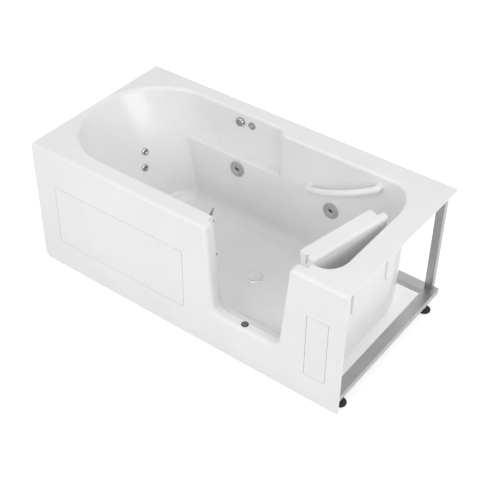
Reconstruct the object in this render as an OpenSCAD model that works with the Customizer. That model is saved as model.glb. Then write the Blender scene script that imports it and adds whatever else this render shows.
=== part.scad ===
// Low walk-in bathtub with an inward-swinging door, two access panels, water jets and a steel base frame.
// Millimetres, +Z up. The origin is on the floor, under the middle of the deck's length and width.
// All places inside the modules are measured from the deck's front left corner, on the floor.

/* [Overall size] */
// Length of the deck
tub_l = 1524; // [1500:1:1560]
// Width of the deck, front to back
tub_w = 780; // [770:1:820]
// Height of the deck's top above the floor
tub_h = 597; // [585:1:610]
// Thickness of the deck and of the front apron
skin_t = 8; // [6:0.5:9]
// Gap between the floor and the apron's lower edge
apron_gap = 5; // [3:1:12]
// Radius of the rounded edge between deck and apron
front_round = 14; // [10:1:16]

/* [Basin] */
// Width of the deck in front of the basin
front_deck_w = 82; // [80:1:88]
// Width of the deck behind the basin
back_deck_w = 107; // [104:1:115]
// Width of the deck beside the foot end of the basin
foot_deck_w = 106; // [100:1:115]
// Width of the deck behind the head end of the basin
head_deck_w = 12; // [10:1:20]
// Height of the basin's floor above the ground
basin_floor_z = 105; // [102:1:112]
// Height of the basin's underside above the ground
underside_z = 80; // [80:1:82]
// How far the sloping backrest reaches into the basin
back_reach = 232; // [220:1:245]
// Length of the rounded head end, measured along the tub
bow_l = 290; // [270:1:310]
// Depth of the arm recess in the back wall
recess_depth = 38; // [30:1:42]
// Height of the arm ledge under the recess
ledge_z = 385; // [370:1:400]
// Where the recess ends, from the head end of the deck
recess_end_x = 741; // [720:1:760]
// Thickness of the basin's walls
wall_t = 12; // [8:1:14]
// Thickness of the basin's foot end wall
foot_wall_t = 18; // [14:1:20]
// Radius of the rounded rim
rim_round = 12; // [8:1:14]
// Radius between the basin's walls and its floor
floor_round = 45; // [35:1:50]

/* [Door opening] */
// From the foot end of the deck to the opening's nearer side, at the deck
door_from_foot = 250; // [245:1:260]
// Width of the opening at the deck
opening_w = 376; // [360:1:390]
// Slope of the opening's two sides
opening_slope = 5; // [3:0.5:6]
// Height of the sill above the floor
sill_z = 185; // [180:1:195]
// How much lower the inner step of the sill is
sill_step = 20; // [18:1:24]
// Width of the inner step on the latch side
jamb_step = 22; // [20:1:26]
// Depth of the outer jamb, front to back
jamb_depth = 46; // [44:1:47]
// Radius of the opening's lower corners
opening_round = 45; // [38:1:50]

/* [Door] */
// Gap between the door's outer plate and the opening
door_gap = 6; // [5:0.5:7]
// Gap between the door's inner flange and the jamb's step
flange_gap = 4; // [3.5:0.5:5]
// Thickness of the door's outer plate
plate_t = 33; // [28:1:34]
// Distance from the deck's front face to the door's outer face
door_setback = 6; // [5:0.5:8]
// Height of the groove round the door, between plate and flange
groove_t = 15; // [13:1:16]
// Depth of the groove round the door
groove_depth = 12; // [10:1:14]
// How far the door stands open in the drawing
open_angle = 101.5; // [90:0.5:103]
// Radius of the hinge pin
pin_r = 5; // [4.5:0.1:5.2]

/* [Frame] */
// Width of the base rails
rail_w = 50; // [46:1:54]
// Height of the base rails
rail_h = 28; // [25:1:29]
// Wall of the rails and posts
tube_t = 2.5; // [2:0.1:3]
// Length of a post's section, along the tub
post_l = 35; // [30:1:38]
// Width of a post's section, front to back
post_w = 25; // [22:1:28]
// Radius of a levelling foot
foot_r = 27.5; // [25:0.5:30]
// Height of a levelling foot
foot_h = 13; // [10:1:15]

/* [Fittings] */
// Radius of the large jets' trim rings
jet_r = 37; // [34:0.5:39]
// Radius of the small back jets' trim rings
back_jet_r = 16; // [14:0.5:18]
// Radius of the grab bar
bar_r = 15; // [13:0.5:16]
// How far the grab bar stands off the wall in its middle
bar_stand = 58; // [50:1:62]
// Radius of the air control knob
knob_r = 20; // [17:0.5:22]
// Radius of the pump button
button_r = 11; // [9:0.5:12]
// Radius of the floor drain's flange
drain_r = 38; // [35:0.5:42]
// Length of a latch lever's tongue
tongue_l = 65; // [55:1:70]
// Radius of the pump's motor
motor_r = 56; // [50:1:60]
// Radius of the pressure pipe
pipe_r = 16; // [14:0.5:17]

/* [Hidden] */

$fn = 48;
over = 1; // overrun of every cut
arc_n = 6; // segments in a rounded corner of an outline
ball_share = 1.08; // radius of a pipe's corner, as a share of the pipe's radius
gloss_white = [0.93, 0.93, 0.93];
steel_grey = [0.66, 0.67, 0.69];
chrome_grey = [0.80, 0.81, 0.83];
jet_grey = [0.62, 0.63, 0.65];
rubber_black = [0.08, 0.08, 0.09];
pump_grey = [0.25, 0.26, 0.28];
pipe_white = [0.88, 0.88, 0.86];

// Basin, worked out from the sizes above
front_y = front_deck_w;
back_y = tub_w - back_deck_w;
foot_x = tub_l - foot_deck_w;
back_draft = 33; // how far the back wall comes forward from rim to floor
foot_draft = 18; // how far the foot end wall comes in from rim to floor
back_curve = 1.5; // exponent of the back wall's curve
back_bend = 0.24; // how much steeper the backrest gets towards the floor
bow_b = (back_y + recess_depth - front_y) / 2;
bow_y = front_y + bow_b;
back_corner_l = 110;
back_corner_w = 172;
front_corner_l = 70;
front_corner_w = 90;
bow_n = 24; // segments round the head end
corner_n = 6; // segments round a corner of the basin
recess_n = 5; // segments in the recess's curve
wall_n = 4; // rings in each half of the basin's wall
fillet_n = 4; // rings in a rounded edge
basin_depth = tub_h - basin_floor_z;
recess_step_l = 34; // length of the slanted step at the recess's foot end
outer_round = 40; // radius of the underside's edge

// Opening and door, worked out from the sizes above
open_right = tub_l - door_from_foot;
open_left = open_right - opening_w;
step_y = jamb_depth;
jamb_wall = 12; // moulding round the opening
jamb_round = 20; // radius of the opening's front edge
hinge_offset = 26; // from the opening's foot side to the hinge pin
hinge_x = open_right + hinge_offset;
hinge_y = 65;
step_past_pin = 22; // room for the open door between the pin and the jamb's step
step_right = hinge_x + step_past_pin;
step_left = open_left - jamb_step;
step_z = sill_z - sill_step;
step_corner_r = 5; // the step's lower corner beside the hinge
door_rise = 5; // from the deck's top up to the door's top
water_gap = 0.5; // from the front wall's inside to the closed door's water face
door_top = tub_h + door_rise;
water_y = front_y - water_gap;
flange_y = door_setback + plate_t + groove_t;
flange_past_pin = 12;
flange_right = hinge_x + flange_past_pin;
plate_right = open_right - door_gap;
plate_left = open_left + door_gap;
plate_bottom = sill_z + door_gap;
flange_left = step_left + flange_gap;
flange_bottom = step_z + flange_gap;
flange_round = 10; // radius of the flange's hinge-side edge and lower corner
top_round = 14; // radius of the door's upper edge
seal_h = 5; // height of the door seal above the flange's face
seal_inset = 4; // seal's distance from the flange's edge
pin_clearance = 0.05; // radial running clearance of the hinge pin
knuckle_r = 9;
knuckle_h = 36;
knuckle_gap = 0.5; // between knuckle and door, above and below
leaf_t = 4;
leaf_seat = 0.3; // between the hinge leaf's front edge and the jamb's step
leaf_w = 30;
knuckle_notch = 24; // how far the door is cut back round a knuckle, from the pin
hinge_rise = 30; // from the sill to the lower hinge
hinge_drop = 80; // from the deck's top to the upper hinge
pin_rise = 10; // from the flange's lower edge to the pin's lower end
corner_drop = 30; // how far the flange is lowered beside the hinge, from the door's top
corner_past = 4; // from the plate's end to where the flange is lowered
pin_drop = 37; // from the door's top to the pin's upper end
hinge_low_z = sill_z + hinge_rise;
hinge_high_z = tub_h - hinge_drop;
pin_low = flange_bottom + pin_rise;
pin_top = door_top - pin_drop;
hinge_screw_r = 3;
hinge_screw_h = 1.6;

// Latches
latch_from_step = 24; // spindle's distance from the jamb step
latch_high_drop = 31; // from the deck's top to the upper latch's spindle
latch_low_drop = 197; // from the deck's top to the lower latch's spindle
latch_high_z = tub_h - latch_high_drop;
latch_low_z = tub_h - latch_low_drop;
latch_high_tilt = 18; // lean of the upper lever at rest, towards the door
latch_low_tilt = -16; // lean of the lower lever at rest, away from the door
rosette_r = 11;
rosette_t = 2.3;
lever_gap = 0.5; // between lever and what it passes
lever_w = 9;
lever_t = 5;
hub_r = 8;
hub_h = 7;
crank_r = 14; // where the lever steps down beside the rosette
thumb_l = 20;
thumb_lift = 2.8;
spindle_r = 3;
cap_r = 4;
cap_t = 1.2;

// Access panels
panel_gap = 1.5; // groove round each panel
panel_t = 4;
panel_land = 12; // width of the land behind a panel's edge
large_x = 108;
large_l = 677;
large_z = 138;
large_h = 288;
small_from_foot = 67; // from the foot end of the deck to the small panel
small_l = 95;
small_z = 127;
small_h = 297;
clip_l = 24;
clip_w = 16;
clip_t = 3;
panel_corner = 4;
corner_cut_l = 12; // chamfer at the apron's lower head corner
corner_cut_h = 33;

// Foot end pads
pad_l = 58;
pad_h = 110;
pad_t = 7;
pad_z = 380;
pad_from_front = 134; // from the basin's front wall to the middle of the nearer pad
pad_from_back = 214; // from the basin's back wall to the middle of the farther pad
pad_front_y = front_y + pad_from_front;
pad_back_y = back_y - pad_from_back;
pad_round = 14;

// Frame
frame_inset = 9; // from the deck's edges to the base rails
front_inset = 14; // from the apron's face to the front rail
back_inset = 2;
rail_top = underside_z;
rail_low = rail_top - rail_h;
rail_head_x = frame_inset;
rail_foot_x = tub_l - frame_inset;
rail_front_y = front_inset;
rail_back_y = tub_w - back_inset;
post_inset = 20; // from the rail's outer face to the corner post
post_foot_x = rail_foot_x - post_inset;
post_top = tub_h - skin_t;
top_rail_h = 25;
cross_w = 40;
cross_shares = [0.36, 0.80]; // places of the cross rails, as shares of the tub's length
stem_r = 6;
stem_clearance = 0.05;
nut_r = 11;
nut_h = 8;
stem_low = 7;
stem_up = 20; // length of stem inside the rail
mid_foot_share = 0.5;
foot_edge = 20; // from the rail's outer face to the foot's centre
mid_foot_inset = 30; // from a long rail's outer face to the middle feet
foot_from_front = 47; // from the front rail's outer face to the front corner feet
foot_from_back = 72; // from the back rail's outer face to the back corner feet
foot_front_y = rail_front_y + foot_from_front;
foot_back_y = rail_back_y - foot_from_back;
collar_r = 12;

// Fittings on the back wall
jet_head_x = 551;
jet_from_foot = 487; // from the foot end of the deck to the second large jet
jet_z = 335;
jet_ring_t = 5;
jet_body_r = 24;
jet_hole_r = 26;
jet_body_l = 42;
nozzle_r = 22;
nozzle_gap = 0.3;
nozzle_bore_r = 7;
nozzle_tilt = 18;
seat_gap = 0.15; // between a flange and the curved wall behind it
air_x = 532;
button_x = 591;
control_drop = 49; // from the deck's top to the middle of the two controls
control_z = tub_h - control_drop;
knob_t = 14;
control_body_r = 14;
control_body_l = 26;
control_plate_t = 2;
control_gap = 0.4;
spindle_knob_r = 4;
button_ring_r = 16.5;
button_ring_t = 6;
button_t = 4.5;
button_travel = 3;
bar_head_x = 927;
bar_from_foot = 279.5;
bar_head_drop = 188; // from the deck's top to the grab bar's lower end
bar_foot_drop = 52; // from the deck's top to the grab bar's upper end
bar_head_z = tub_h - bar_head_drop;
bar_foot_z = tub_h - bar_foot_drop;
bar_flange_r = 19;
bar_flange_t = 5;
bar_elbow_r = 20;
bow_share = 0.56; // how much of the bar's stand-off is made by its bow
bar_start = 3; // from the wall to the bar's end, inside its flange
bar_lap = 1; // how far the legs and the bow run into the elbows
bar_step = 0.08; // how much thicker the elbows are than the rest of the bar

// Back jets on the backrest: heights, and the angle from the tub's middle line round the head end
back_jet_angle = 19.5;
back_jet_low_angle = 14;
back_jet_z = 348;
back_jet_low_z = 285;
back_jet_t = 4;
back_jet_seat = 1; // between a back jet's flange and the middle of the curved wall behind it
back_jet_body_r = 11;
back_jet_body_l = 34;
back_nozzle_r = 8;
back_nozzle_t = 3;
back_nozzle_bore_r = 2.5;

// Drains
sill_drain_from = 206; // from the opening's foot side to the sill drain
sill_drain_y = 29;
sill_ring_r = 15;
sill_ring_t = 3;
sill_cap_r = 10.5;
sill_cap_t = 2.5;
sill_shank_r = 9;
sill_shank_l = 22;
drain_from_foot = 646;
drain_y = 346;
drain_t = 3;
drain_bore_r = 22;
drain_shank_r = 26;
drain_seat = 4;
stopper_r = 31;
stopper_t = 4;
stopper_gap = 0.4;
stopper_stem_r = 4;
stopper_lift = 12;
guide_r = 4.3;
guide_web = 4;
shoe_r = 30;
shoe_top = 66;
shoe_low = 4;
outlet_r = 20;
outlet_wall = 3;
outlet_z = 26;
outlet_from_back = 140; // from the deck's back edge to the outlet's end
outlet_end_y = tub_w - outlet_from_back;
outlet_collar_r = 24;
outlet_collar_t = 5;
outlet_spigot_l = 50; // straight end beyond the collar, for the waste pipe

// Pump and pipes behind the large access panel
pump_y = 95;
pump_z = 160;
motor_x = 50;
motor_l = 145;
motor_cap_l = 12;
volute_l = 48;
volute_r = 62;
fin_n = 16;
fin_t = 3;
fin_h = 4;
shelf_t = 4;
shelf_x = 20;
shelf_l = 245;
shelf_w = 140;
cradle_w = 14;
box_l = 70;
box_w = 60;
box_h = 32;
gland_r = 9;
gland_l = 14;
gland_bore_r = 4;
suction_x = 600;
suction_z = 205;
suction_r = 46;
suction_t = 5;
suction_pipe_r = 17;
suction_body_l = 48;
suction_hole_r = 30;
suction_slot_w = 5;
suction_slot_l = 44;
suction_turn = 40; // from the pump's inlet to the suction pipe's first corner
suction_slot_n = 5;
suction_slot_step = 11;
pipe_wall = 2.5;
pipe_x = 66;
pipe_z = 300;
pipe_from_back = 58; // from the deck's back edge to the pressure pipe
pipe_y = tub_w - pipe_from_back;
hose_r = 7;
hose_z = 430;
hose_lap = 4; // length of hose inside what it is pushed into
hose_from_back = 36; // from the deck's back edge to the air hose
hose_y = tub_w - hose_from_back;
jet_branch_in = 90; // from the deck's back edge to where the pressure pipe enters a large jet from below
jet_branch_y = tub_w - jet_branch_in;
tube_r = 3;
tube_from_back = 50; // from the deck's back edge to the button's air tube
tube_y = tub_w - tube_from_back;
tube_z = 480;
tube_low_z = 400;
tube_x = 30;

function unit2(v) = v / norm(v);
function cross2(a, b) = a[0] * b[1] - a[1] * b[0];

// Points of the arc of radius r that rounds the corner b between a and c
function round_corner(a, b, c, r, n) =
  let (
    u = unit2(a - b),
    v = unit2(c - b),
    half = acos(u * v) / 2,
    start = b + u * (r / tan(half)),
    centre = b + unit2(u + v) * (r / sin(half)),
    from = atan2(start[1] - centre[1], start[0] - centre[0]),
    sweep = (180 - 2 * half) * sign(cross2(b - a, c - b))
  )
  [for (i = [0:n]) centre + r * [cos(from + sweep * i / n), sin(from + sweep * i / n)]];

function reversed(list) = [for (i = [len(list) - 1:-1:0]) list[i]];

// Share of the way down from the rim to the floor
function depth_share(z) = min(1, max(0, (tub_h - z) / basin_depth));
function bow_x(z) =
  head_deck_w + bow_l + back_reach * depth_share(z) * (1 + back_bend * (1 - depth_share(z)));
function back_wall_y(z) = back_y - back_draft * pow(depth_share(z), back_curve);
function back_wall_lean(z) = atan((back_wall_y(z + over) - back_wall_y(z - over)) / (2 * over));
function foot_wall_x(z) = foot_x - foot_draft * depth_share(z);

// A point of the rounded head end at height z; angle 0 is the middle of the head end
function bow_point(z, angle, grow) =
  [bow_x(z) - (bow_l + grow) * cos(angle), bow_y + (bow_b + grow) * sin(angle), z];

// The rounded head end at height z, from the front wall to where the back wall cuts it off
function clip_angle(z, grow) = asin((back_wall_y(z) + grow - bow_y) / (bow_b + grow));
function bow_arc(z, grow) = let (clip = clip_angle(z, grow))
  [for (i = [0:bow_n]) bow_point(z, -90 + (clip + 90) * i / bow_n, grow)];

// The arm recess: the rest of the head end's curve, a straight wall and a slanting step
function recess_arc(z, grow) =
  let (
    clip = clip_angle(z, grow),
    end = recess_end_x + grow
  )
  concat([for (i = [1:recess_n]) bow_point(z, clip + (90 - clip) * i / recess_n, grow)],
    [[end, bow_y + bow_b + grow, z]]);

// The end of the recess's step on the back wall, and the two rounded corners at the foot end
function foot_corners(z, grow, foot_grow) =
  let (
    back = back_wall_y(z) + grow,
    foot = foot_wall_x(z) + foot_grow,
    step = [[recess_end_x + recess_step_l + grow, back, z]],
    rear = [for (i = [0:corner_n]) let (a = 90 - 90 * i / corner_n)
      [foot - (back_corner_l + grow) * (1 - cos(a)), back - (back_corner_w + grow) * (1 - sin(a)), z]],
    front = front_y - grow,
    near = [for (i = [0:corner_n]) let (a = -90 * i / corner_n)
      [foot - (front_corner_l + grow) * (1 - cos(a)), front + (front_corner_w + grow) * (1 + sin(a)), z]]
  )
  concat(step, rear, near);

// The basin's outline at height z, clockwise, moved out by grow, and by foot_grow at the foot end
function basin_ring(z, grow, foot_grow) = concat(bow_arc(z, grow), foot_corners(z, grow, foot_grow));
function upper_ring(z, grow, foot_grow) =
  concat(bow_arc(z, grow), recess_arc(z, grow), foot_corners(z, grow, foot_grow));

// Triangles between rows of point numbers that climb, each row clockwise
function walls(rows) = [for (k = [0:len(rows) - 2]) for (i = [0:len(rows[k]) - 1])
  let (j = (i + 1) % len(rows[k]))
  each [[rows[k][i], rows[k][j], rows[k + 1][j]], [rows[k][i], rows[k + 1][j], rows[k + 1][i]]]];

// Closed solid through clockwise rings that climb, each with as many points
module loft(rings) {
  n = len(rings[0]);
  rows = [for (k = [0:len(rings) - 1]) [for (i = [0:n - 1]) k * n + i]];
  faces = concat([reversed(rows[0])], [rows[len(rings) - 1]], walls(rows));
  polyhedron(points = [for (r = rings) each r], faces = faces);
}

// The basin as one solid: the low rings end at the arm ledge, where the outline grows by the recess
module basin_solid(low, high) {
  n = len(low[0]);
  m = len(high[0]);
  top = len(low) - 1;
  first = bow_n + 1;
  extra = m - n;
  base = n * len(low);
  points = concat([for (r = low) each r], [for (i = [first:first + extra - 1]) high[0][i]],
    [for (k = [1:len(high) - 1]) each high[k]]);
  level = concat([for (i = [0:first - 1]) top * n + i], [for (i = [0:extra - 1]) base + i],
    [for (i = [first:n - 1]) top * n + i]);
  low_rows = [for (k = [0:top]) [for (i = [0:n - 1]) k * n + i]];
  high_rows = concat([level],
    [for (k = [1:len(high) - 1]) [for (i = [0:m - 1]) base + extra + (k - 1) * m + i]]);
  ledge = [for (i = [first + extra:-1:first - 1]) level[i]];
  polyhedron(points = points, faces = concat([reversed(low_rows[0])], [high_rows[len(high) - 1]], [ledge],
    walls(low_rows), walls(high_rows)));
}

// Places every piece: from the deck's front left corner to the part's own origin
module placed() {
  translate([-tub_l / 2, -tub_w / 2, 0]) children();
}

// An outline in X and Z, made solid from y0 to y1
module slab(y0, y1) {
  translate([0, y1, 0]) rotate([90, 0, 0]) linear_extrude(y1 - y0) children();
}

// A disc or rod along Y, from y0 to y1
module rod_y(x, z, r, y0, y1) {
  translate([x, y1, z]) rotate([90, 0, 0]) cylinder(r = r, h = y1 - y0);
}

// Turns +Z to the direction of v
module turn_to(v) {
  rotate([0, acos(v[2] / norm(v)), atan2(v[1], v[0])]) children();
}

function unit(v) = v / norm(v);

// A ball in a pipe's corner, its upright seam turned to the free side, where no pipe comes in
module corner_ball(point, free_side, r) {
  translate(point) rotate([0, 0, atan2(free_side[1], free_side[0])]) sphere(r = r * ball_share);
}

// A round tube or rod through a list of points, with ball corners
module run(points, r) {
  for (i = [0:len(points) - 2]) {
    step = points[i + 1] - points[i];
    translate(points[i]) turn_to(step) cylinder(r = r, h = norm(step));
  }
  for (i = [1:1:len(points) - 2]) {
    outwards = unit(points[i] - points[i - 1]) + unit(points[i] - points[i + 1]);
    corner_ball(points[i], outwards, r);
  }
}

// Rods through several lists of points, with a ball at each tee
module runs(lines, tees, r) {
  for (points = lines) run(points, r);
  for (tee = tees) corner_ball(tee[0], tee[0] - tee[1], r);
}

// Hollow pipes through several lists of points. A tee is its point and a point along its branch
module pipes(lines, tees, r, wall) {
  difference() {
    runs(lines, tees, r);
    runs(lines, tees, r - wall);
  }
}

// Rings of the basin's inside, from the floor up to the arm ledge
function inner_low_rings() = concat(
  [for (i = [0:fillet_n]) let (a = 90 * i / fillet_n, g = -floor_round * (1 - sin(a)))
    basin_ring(basin_floor_z + floor_round * (1 - cos(a)), g, g)],
  [for (i = [1:wall_n]) let (from = basin_floor_z + floor_round)
    basin_ring(from + (ledge_z - from) * i / wall_n, 0, 0)]
);

// Rings of the basin's inside, from the arm ledge up to above the rounded rim
function inner_high_rings() = concat(
  [for (i = [0:wall_n - 1]) upper_ring(ledge_z + (tub_h - rim_round - ledge_z) * i / wall_n, 0, 0)],
  [for (i = [0:fillet_n]) let (a = 90 * i / fillet_n)
    let (g = rim_round * (1 - cos(a)), z = tub_h - rim_round * (1 - sin(a))) upper_ring(z, g, g)],
  [[for (p = upper_ring(tub_h, rim_round, rim_round)) [p[0], p[1], tub_h + over]]]
);

// Rings of the basin's outside, from the underside up to below the arm ledge
function outer_low_rings() = concat(
  [for (i = [0:fillet_n]) let (a = 90 * i / fillet_n)
    let (g = -outer_round * (1 - sin(a)), z = underside_z + outer_round * (1 - cos(a)))
    basin_ring(z, wall_t + g, foot_wall_t + foot_draft * depth_share(z) + g)],
  [for (i = [1:wall_n]) let (z = underside_z + outer_round
    + (ledge_z - wall_t - underside_z - outer_round) * i / wall_n)
    basin_ring(z, wall_t, foot_wall_t + foot_draft * depth_share(z))]
);

// Rings of the basin's outside, from below the arm ledge up into the deck
function outer_high_rings() =
  [for (i = [0:wall_n]) let (z = ledge_z - wall_t + (tub_h - skin_t / 2 - ledge_z + wall_t) * i / wall_n)
    upper_ring(z, wall_t, foot_wall_t + foot_draft * depth_share(z))];

// Outline of the door opening in X and Z: two sloping sides and rounded lower corners
function opening_side(x, z, side) = x - side * (tub_h - z) * tan(opening_slope);
function opening_outline(grow, top) =
  let (
    low = sill_z - grow,
    slant = grow / cos(opening_slope),
    tl = [opening_side(open_left - slant, top, -1), top],
    bl = [opening_side(open_left - slant, low, -1), low],
    br = [opening_side(open_right + slant, low, 1), low],
    tr = [opening_side(open_right + slant, top, 1), top]
  )
  concat([tl], round_corner(tl, bl, br, opening_round, arc_n),
    round_corner(bl, br, tr, opening_round, arc_n), [tr]);

// Outline of the wider step behind it, sloping on the latch side and upright on the hinge side
function step_outline(grow, top) =
  let (
    low = step_z - grow,
    slant = grow / cos(opening_slope),
    tl = [opening_side(step_left - slant, top, -1), top],
    bl = [opening_side(step_left - slant, low, -1), low],
    br = [step_right + grow, low],
    tr = [step_right + grow, top],
    r = step_corner_r + grow
  )
  concat([tl], round_corner(tl, bl, br, opening_round, arc_n), round_corner(bl, br, tr, r, arc_n), [tr]);

// Rounds the opening's front edge: the outline widens along a quarter circle towards the apron's face
function flare_rings() = concat(
  [[for (p = opening_outline(jamb_round, tub_h + over)) [p[0], -over, p[1]]]],
  [for (i = [fillet_n:-1:0]) let (a = 90 * i / fillet_n)
    [for (p = opening_outline(jamb_round * (1 - cos(a)), tub_h + over))
      [p[0], jamb_round * (1 - sin(a)), p[1]]]]
);

module tub_shell() {
  color(gloss_white) placed() difference() {
    union() {
      deck_and_apron();
      basin_solid(outer_low_rings(), outer_high_rings());
      slab(0, front_y) polygon(step_outline(jamb_wall, tub_h - skin_t / 2));
      foot_pads_moulded(pad_front_y);
      foot_pads_moulded(pad_back_y);
    }
    basin_solid(inner_low_rings(), inner_high_rings());
    slab(-over, step_y + over) polygon(opening_outline(0, tub_h + over));
    slab(step_y, front_y + over) polygon(step_outline(0, tub_h + over));
    loft(flare_rings());
    large_panel_cut();
    small_panel_cut();
    shell_holes();
  }
}

// Deck and apron: one bent sheet with a rounded front edge
module deck_and_apron() {
  r = front_round;
  foot = [0, apron_gap];
  outer = concat([foot], round_corner(foot, [0, tub_h], [tub_w, tub_h], r, arc_n), [[tub_w, tub_h]]);
  inner = concat([[tub_w, tub_h - skin_t]],
    round_corner([tub_w, tub_h - skin_t], [skin_t, tub_h - skin_t], [skin_t, apron_gap], r - skin_t, arc_n),
    [[skin_t, apron_gap]]);
  difference() {
    rotate([90, 0, 90]) linear_extrude(tub_l) polygon(concat(outer, inner));
    slab(-over, skin_t + over) polygon([[-over, apron_gap - over], [corner_cut_l, apron_gap - over],
      [-over, apron_gap + corner_cut_h]]);
  }
}

// Raised pads on the outside of the foot end wall
module foot_pads_moulded(y) {
  x = foot_x + foot_wall_t;
  translate([x - over, y, pad_z]) rotate([0, 90, 0]) linear_extrude(pad_t + over)
    square([pad_h, pad_l], center = true);
}

module panel_outline(l, h, inset) {
  translate([inset, inset]) square([l - 2 * inset, h - 2 * inset]);
}

module large_panel_cut() {
  translate([large_x, 0, large_z]) {
    slab(-over, panel_t) panel_outline(large_l, large_h, 0);
    slab(-over, skin_t + over) panel_outline(large_l, large_h, panel_land);
  }
}

module small_panel_cut() {
  translate([tub_l - small_from_foot - small_l, 0, small_z]) {
    slab(-over, panel_t) panel_outline(small_l, small_h, 0);
    slab(-over, skin_t + over) panel_outline(small_l, small_h, panel_land);
  }
}

module large_access_panel() {
  color(gloss_white) placed() translate([large_x, 0, large_z]) slab(0, panel_t)
    panel_outline(large_l, large_h, panel_gap);
}

module small_access_panel() {
  color(gloss_white) placed() translate([tub_l - small_from_foot - small_l, 0, small_z])
    slab(0, panel_t) panel_outline(small_l, small_h, panel_gap);
}

// Spring clips that hold a panel to the land behind it; side is 1 or -1 along X
module panel_clip(x, z, side) {
  edge = x + side * panel_land;
  low = min(edge, edge + side * clip_l / 2);
  translate([low, panel_t, z - clip_w / 2]) cube([clip_l / 2, skin_t - panel_t, clip_w]);
  translate([edge - clip_l / 2, skin_t, z - clip_w / 2]) cube([clip_l, clip_t, clip_w]);
}

module panel_clips() {
  small_x = tub_l - small_from_foot - small_l;
  color(steel_grey) placed() {
    for (s = [1, 3]) {
      panel_clip(large_x, large_z + large_h * s / 4, 1);
      panel_clip(large_x + large_l, large_z + large_h * s / 4, -1);
      panel_clip(small_x, small_z + small_h * s / 4, 1);
      panel_clip(small_x + small_l, small_z + small_h * s / 4, -1);
    }
  }
}

// Holes through the shell for the fittings
module shell_holes() {
  jet_place(jet_head_x) cylinder(r = jet_hole_r, h = 4 * wall_t, center = true);
  jet_place(tub_l - jet_from_foot) cylinder(r = jet_hole_r, h = 4 * wall_t, center = true);
  for (j = [0:3]) back_jet_place(j)
    cylinder(r = back_jet_body_r + control_gap, h = 4 * wall_t, center = true);
  rear = bow_y + bow_b;
  rod_y(air_x, control_z, control_body_r + control_gap, rear - wall_t, rear + wall_t + over);
  rod_y(button_x, control_z, control_body_r + control_gap, rear - wall_t, rear + wall_t + over);
  rod_y(suction_x, suction_z, suction_hole_r, front_y - wall_t - over, front_y + over);
  translate([tub_l - drain_from_foot, drain_y, underside_z - over])
    cylinder(r = drain_shank_r + control_gap, h = basin_floor_z);
  translate([open_right - sill_drain_from, sill_drain_y, step_z - jamb_wall - over])
    cylinder(r = sill_shank_r + control_gap, h = jamb_wall + sill_step + 2 * over);
}

// A hollow rectangular tube along X or Y, standing or lying
module box_tube(size, axis) {
  inner = [for (i = [0:2]) i == axis ? size[i] + 2 * over : size[i] - 2 * tube_t];
  difference() {
    cube(size);
    translate([for (i = [0:2]) i == axis ? -over : tube_t]) cube(inner);
  }
}

// Round holes in a rail's underside for the levelling feet's stems
module stem_holes() {
  for (p = foot_places()) translate([p[0], p[1], rail_low - over])
    cylinder(r = stem_r + stem_clearance, h = tube_t + 2 * over);
}

function foot_places() = concat(
  [for (x = [rail_head_x + foot_edge, rail_foot_x - foot_edge]) for (y = [foot_front_y, foot_back_y]) [x, y]],
  [for (y = [rail_front_y + mid_foot_inset, rail_back_y - mid_foot_inset]) [tub_l * mid_foot_share, y]]);

module base_rail_front() {
  color(steel_grey) placed() difference() {
    translate([rail_head_x + rail_w, rail_front_y, rail_low])
      box_tube([rail_foot_x - rail_head_x - 2 * rail_w, rail_w, rail_h], 0);
    stem_holes();
  }
}

module base_rail_back() {
  color(steel_grey) placed() difference() {
    translate([rail_head_x + rail_w, rail_back_y - rail_w, rail_low])
      box_tube([rail_foot_x - rail_head_x - 2 * rail_w, rail_w, rail_h], 0);
    stem_holes();
  }
}

module base_rail_head() {
  color(steel_grey) placed() difference() {
    translate([rail_head_x, rail_front_y, rail_low])
      box_tube([rail_w, rail_back_y - rail_front_y, rail_h], 1);
    stem_holes();
  }
}

module base_rail_foot() {
  color(steel_grey) placed() difference() {
    translate([rail_foot_x - rail_w, rail_front_y, rail_low])
      box_tube([rail_w, rail_back_y - rail_front_y, rail_h], 1);
    stem_holes();
  }
}

module cross_rails() {
  color(steel_grey) placed() for (s = cross_shares)
    translate([tub_l * s - cross_w / 2, rail_front_y + rail_w, rail_low])
      box_tube([cross_w, rail_back_y - rail_front_y - 2 * rail_w, rail_h], 1);
}

module post(x, y) {
  color(steel_grey) placed() translate([x, y, rail_top]) box_tube([post_l, post_w, post_top - rail_top], 2);
}

module post_front_head() {
  post(rail_head_x, rail_front_y);
}

module post_front_foot() {
  post(post_foot_x - post_l, rail_front_y);
}

module post_back_head() {
  post(rail_head_x, rail_back_y - post_w);
}

module post_back_foot() {
  post(post_foot_x - post_l, rail_back_y - post_w);
}

module top_rail_back() {
  color(steel_grey) placed() translate([rail_head_x + post_l, rail_back_y - post_w, post_top - top_rail_h])
    box_tube([post_foot_x - rail_head_x - 2 * post_l, post_w, top_rail_h], 0);
}

module foot_pads() {
  color(rubber_black) placed() for (p = foot_places()) translate([p[0], p[1], 0]) difference() {
    union() {
      cylinder(r = foot_r, h = foot_h / 2);
      translate([0, 0, foot_h / 2]) cylinder(r1 = foot_r, r2 = collar_r, h = foot_h / 2);
    }
    translate([0, 0, stem_low]) cylinder(r = stem_r, h = foot_h);
  }
}

module foot_stems() {
  color(steel_grey) placed() for (p = foot_places()) translate([p[0], p[1], stem_low])
    cylinder(r = stem_r, h = rail_low + stem_up - stem_low);
}

module foot_lock_nuts() {
  color(steel_grey) placed() for (p = foot_places()) translate([p[0], p[1], rail_low - nut_h]) difference() {
    cylinder(r = nut_r, h = nut_h, $fn = 6);
    translate([0, 0, -over]) cylinder(r = stem_r, h = nut_h + 2 * over);
  }
}

// Holds the door where the drawing shows it, swung open about its pin
module door_pose() {
  placed() translate([hinge_x, hinge_y, 0]) rotate([0, 0, -open_angle])
    translate([-hinge_x, -hinge_y, 0]) children();
}

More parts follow.
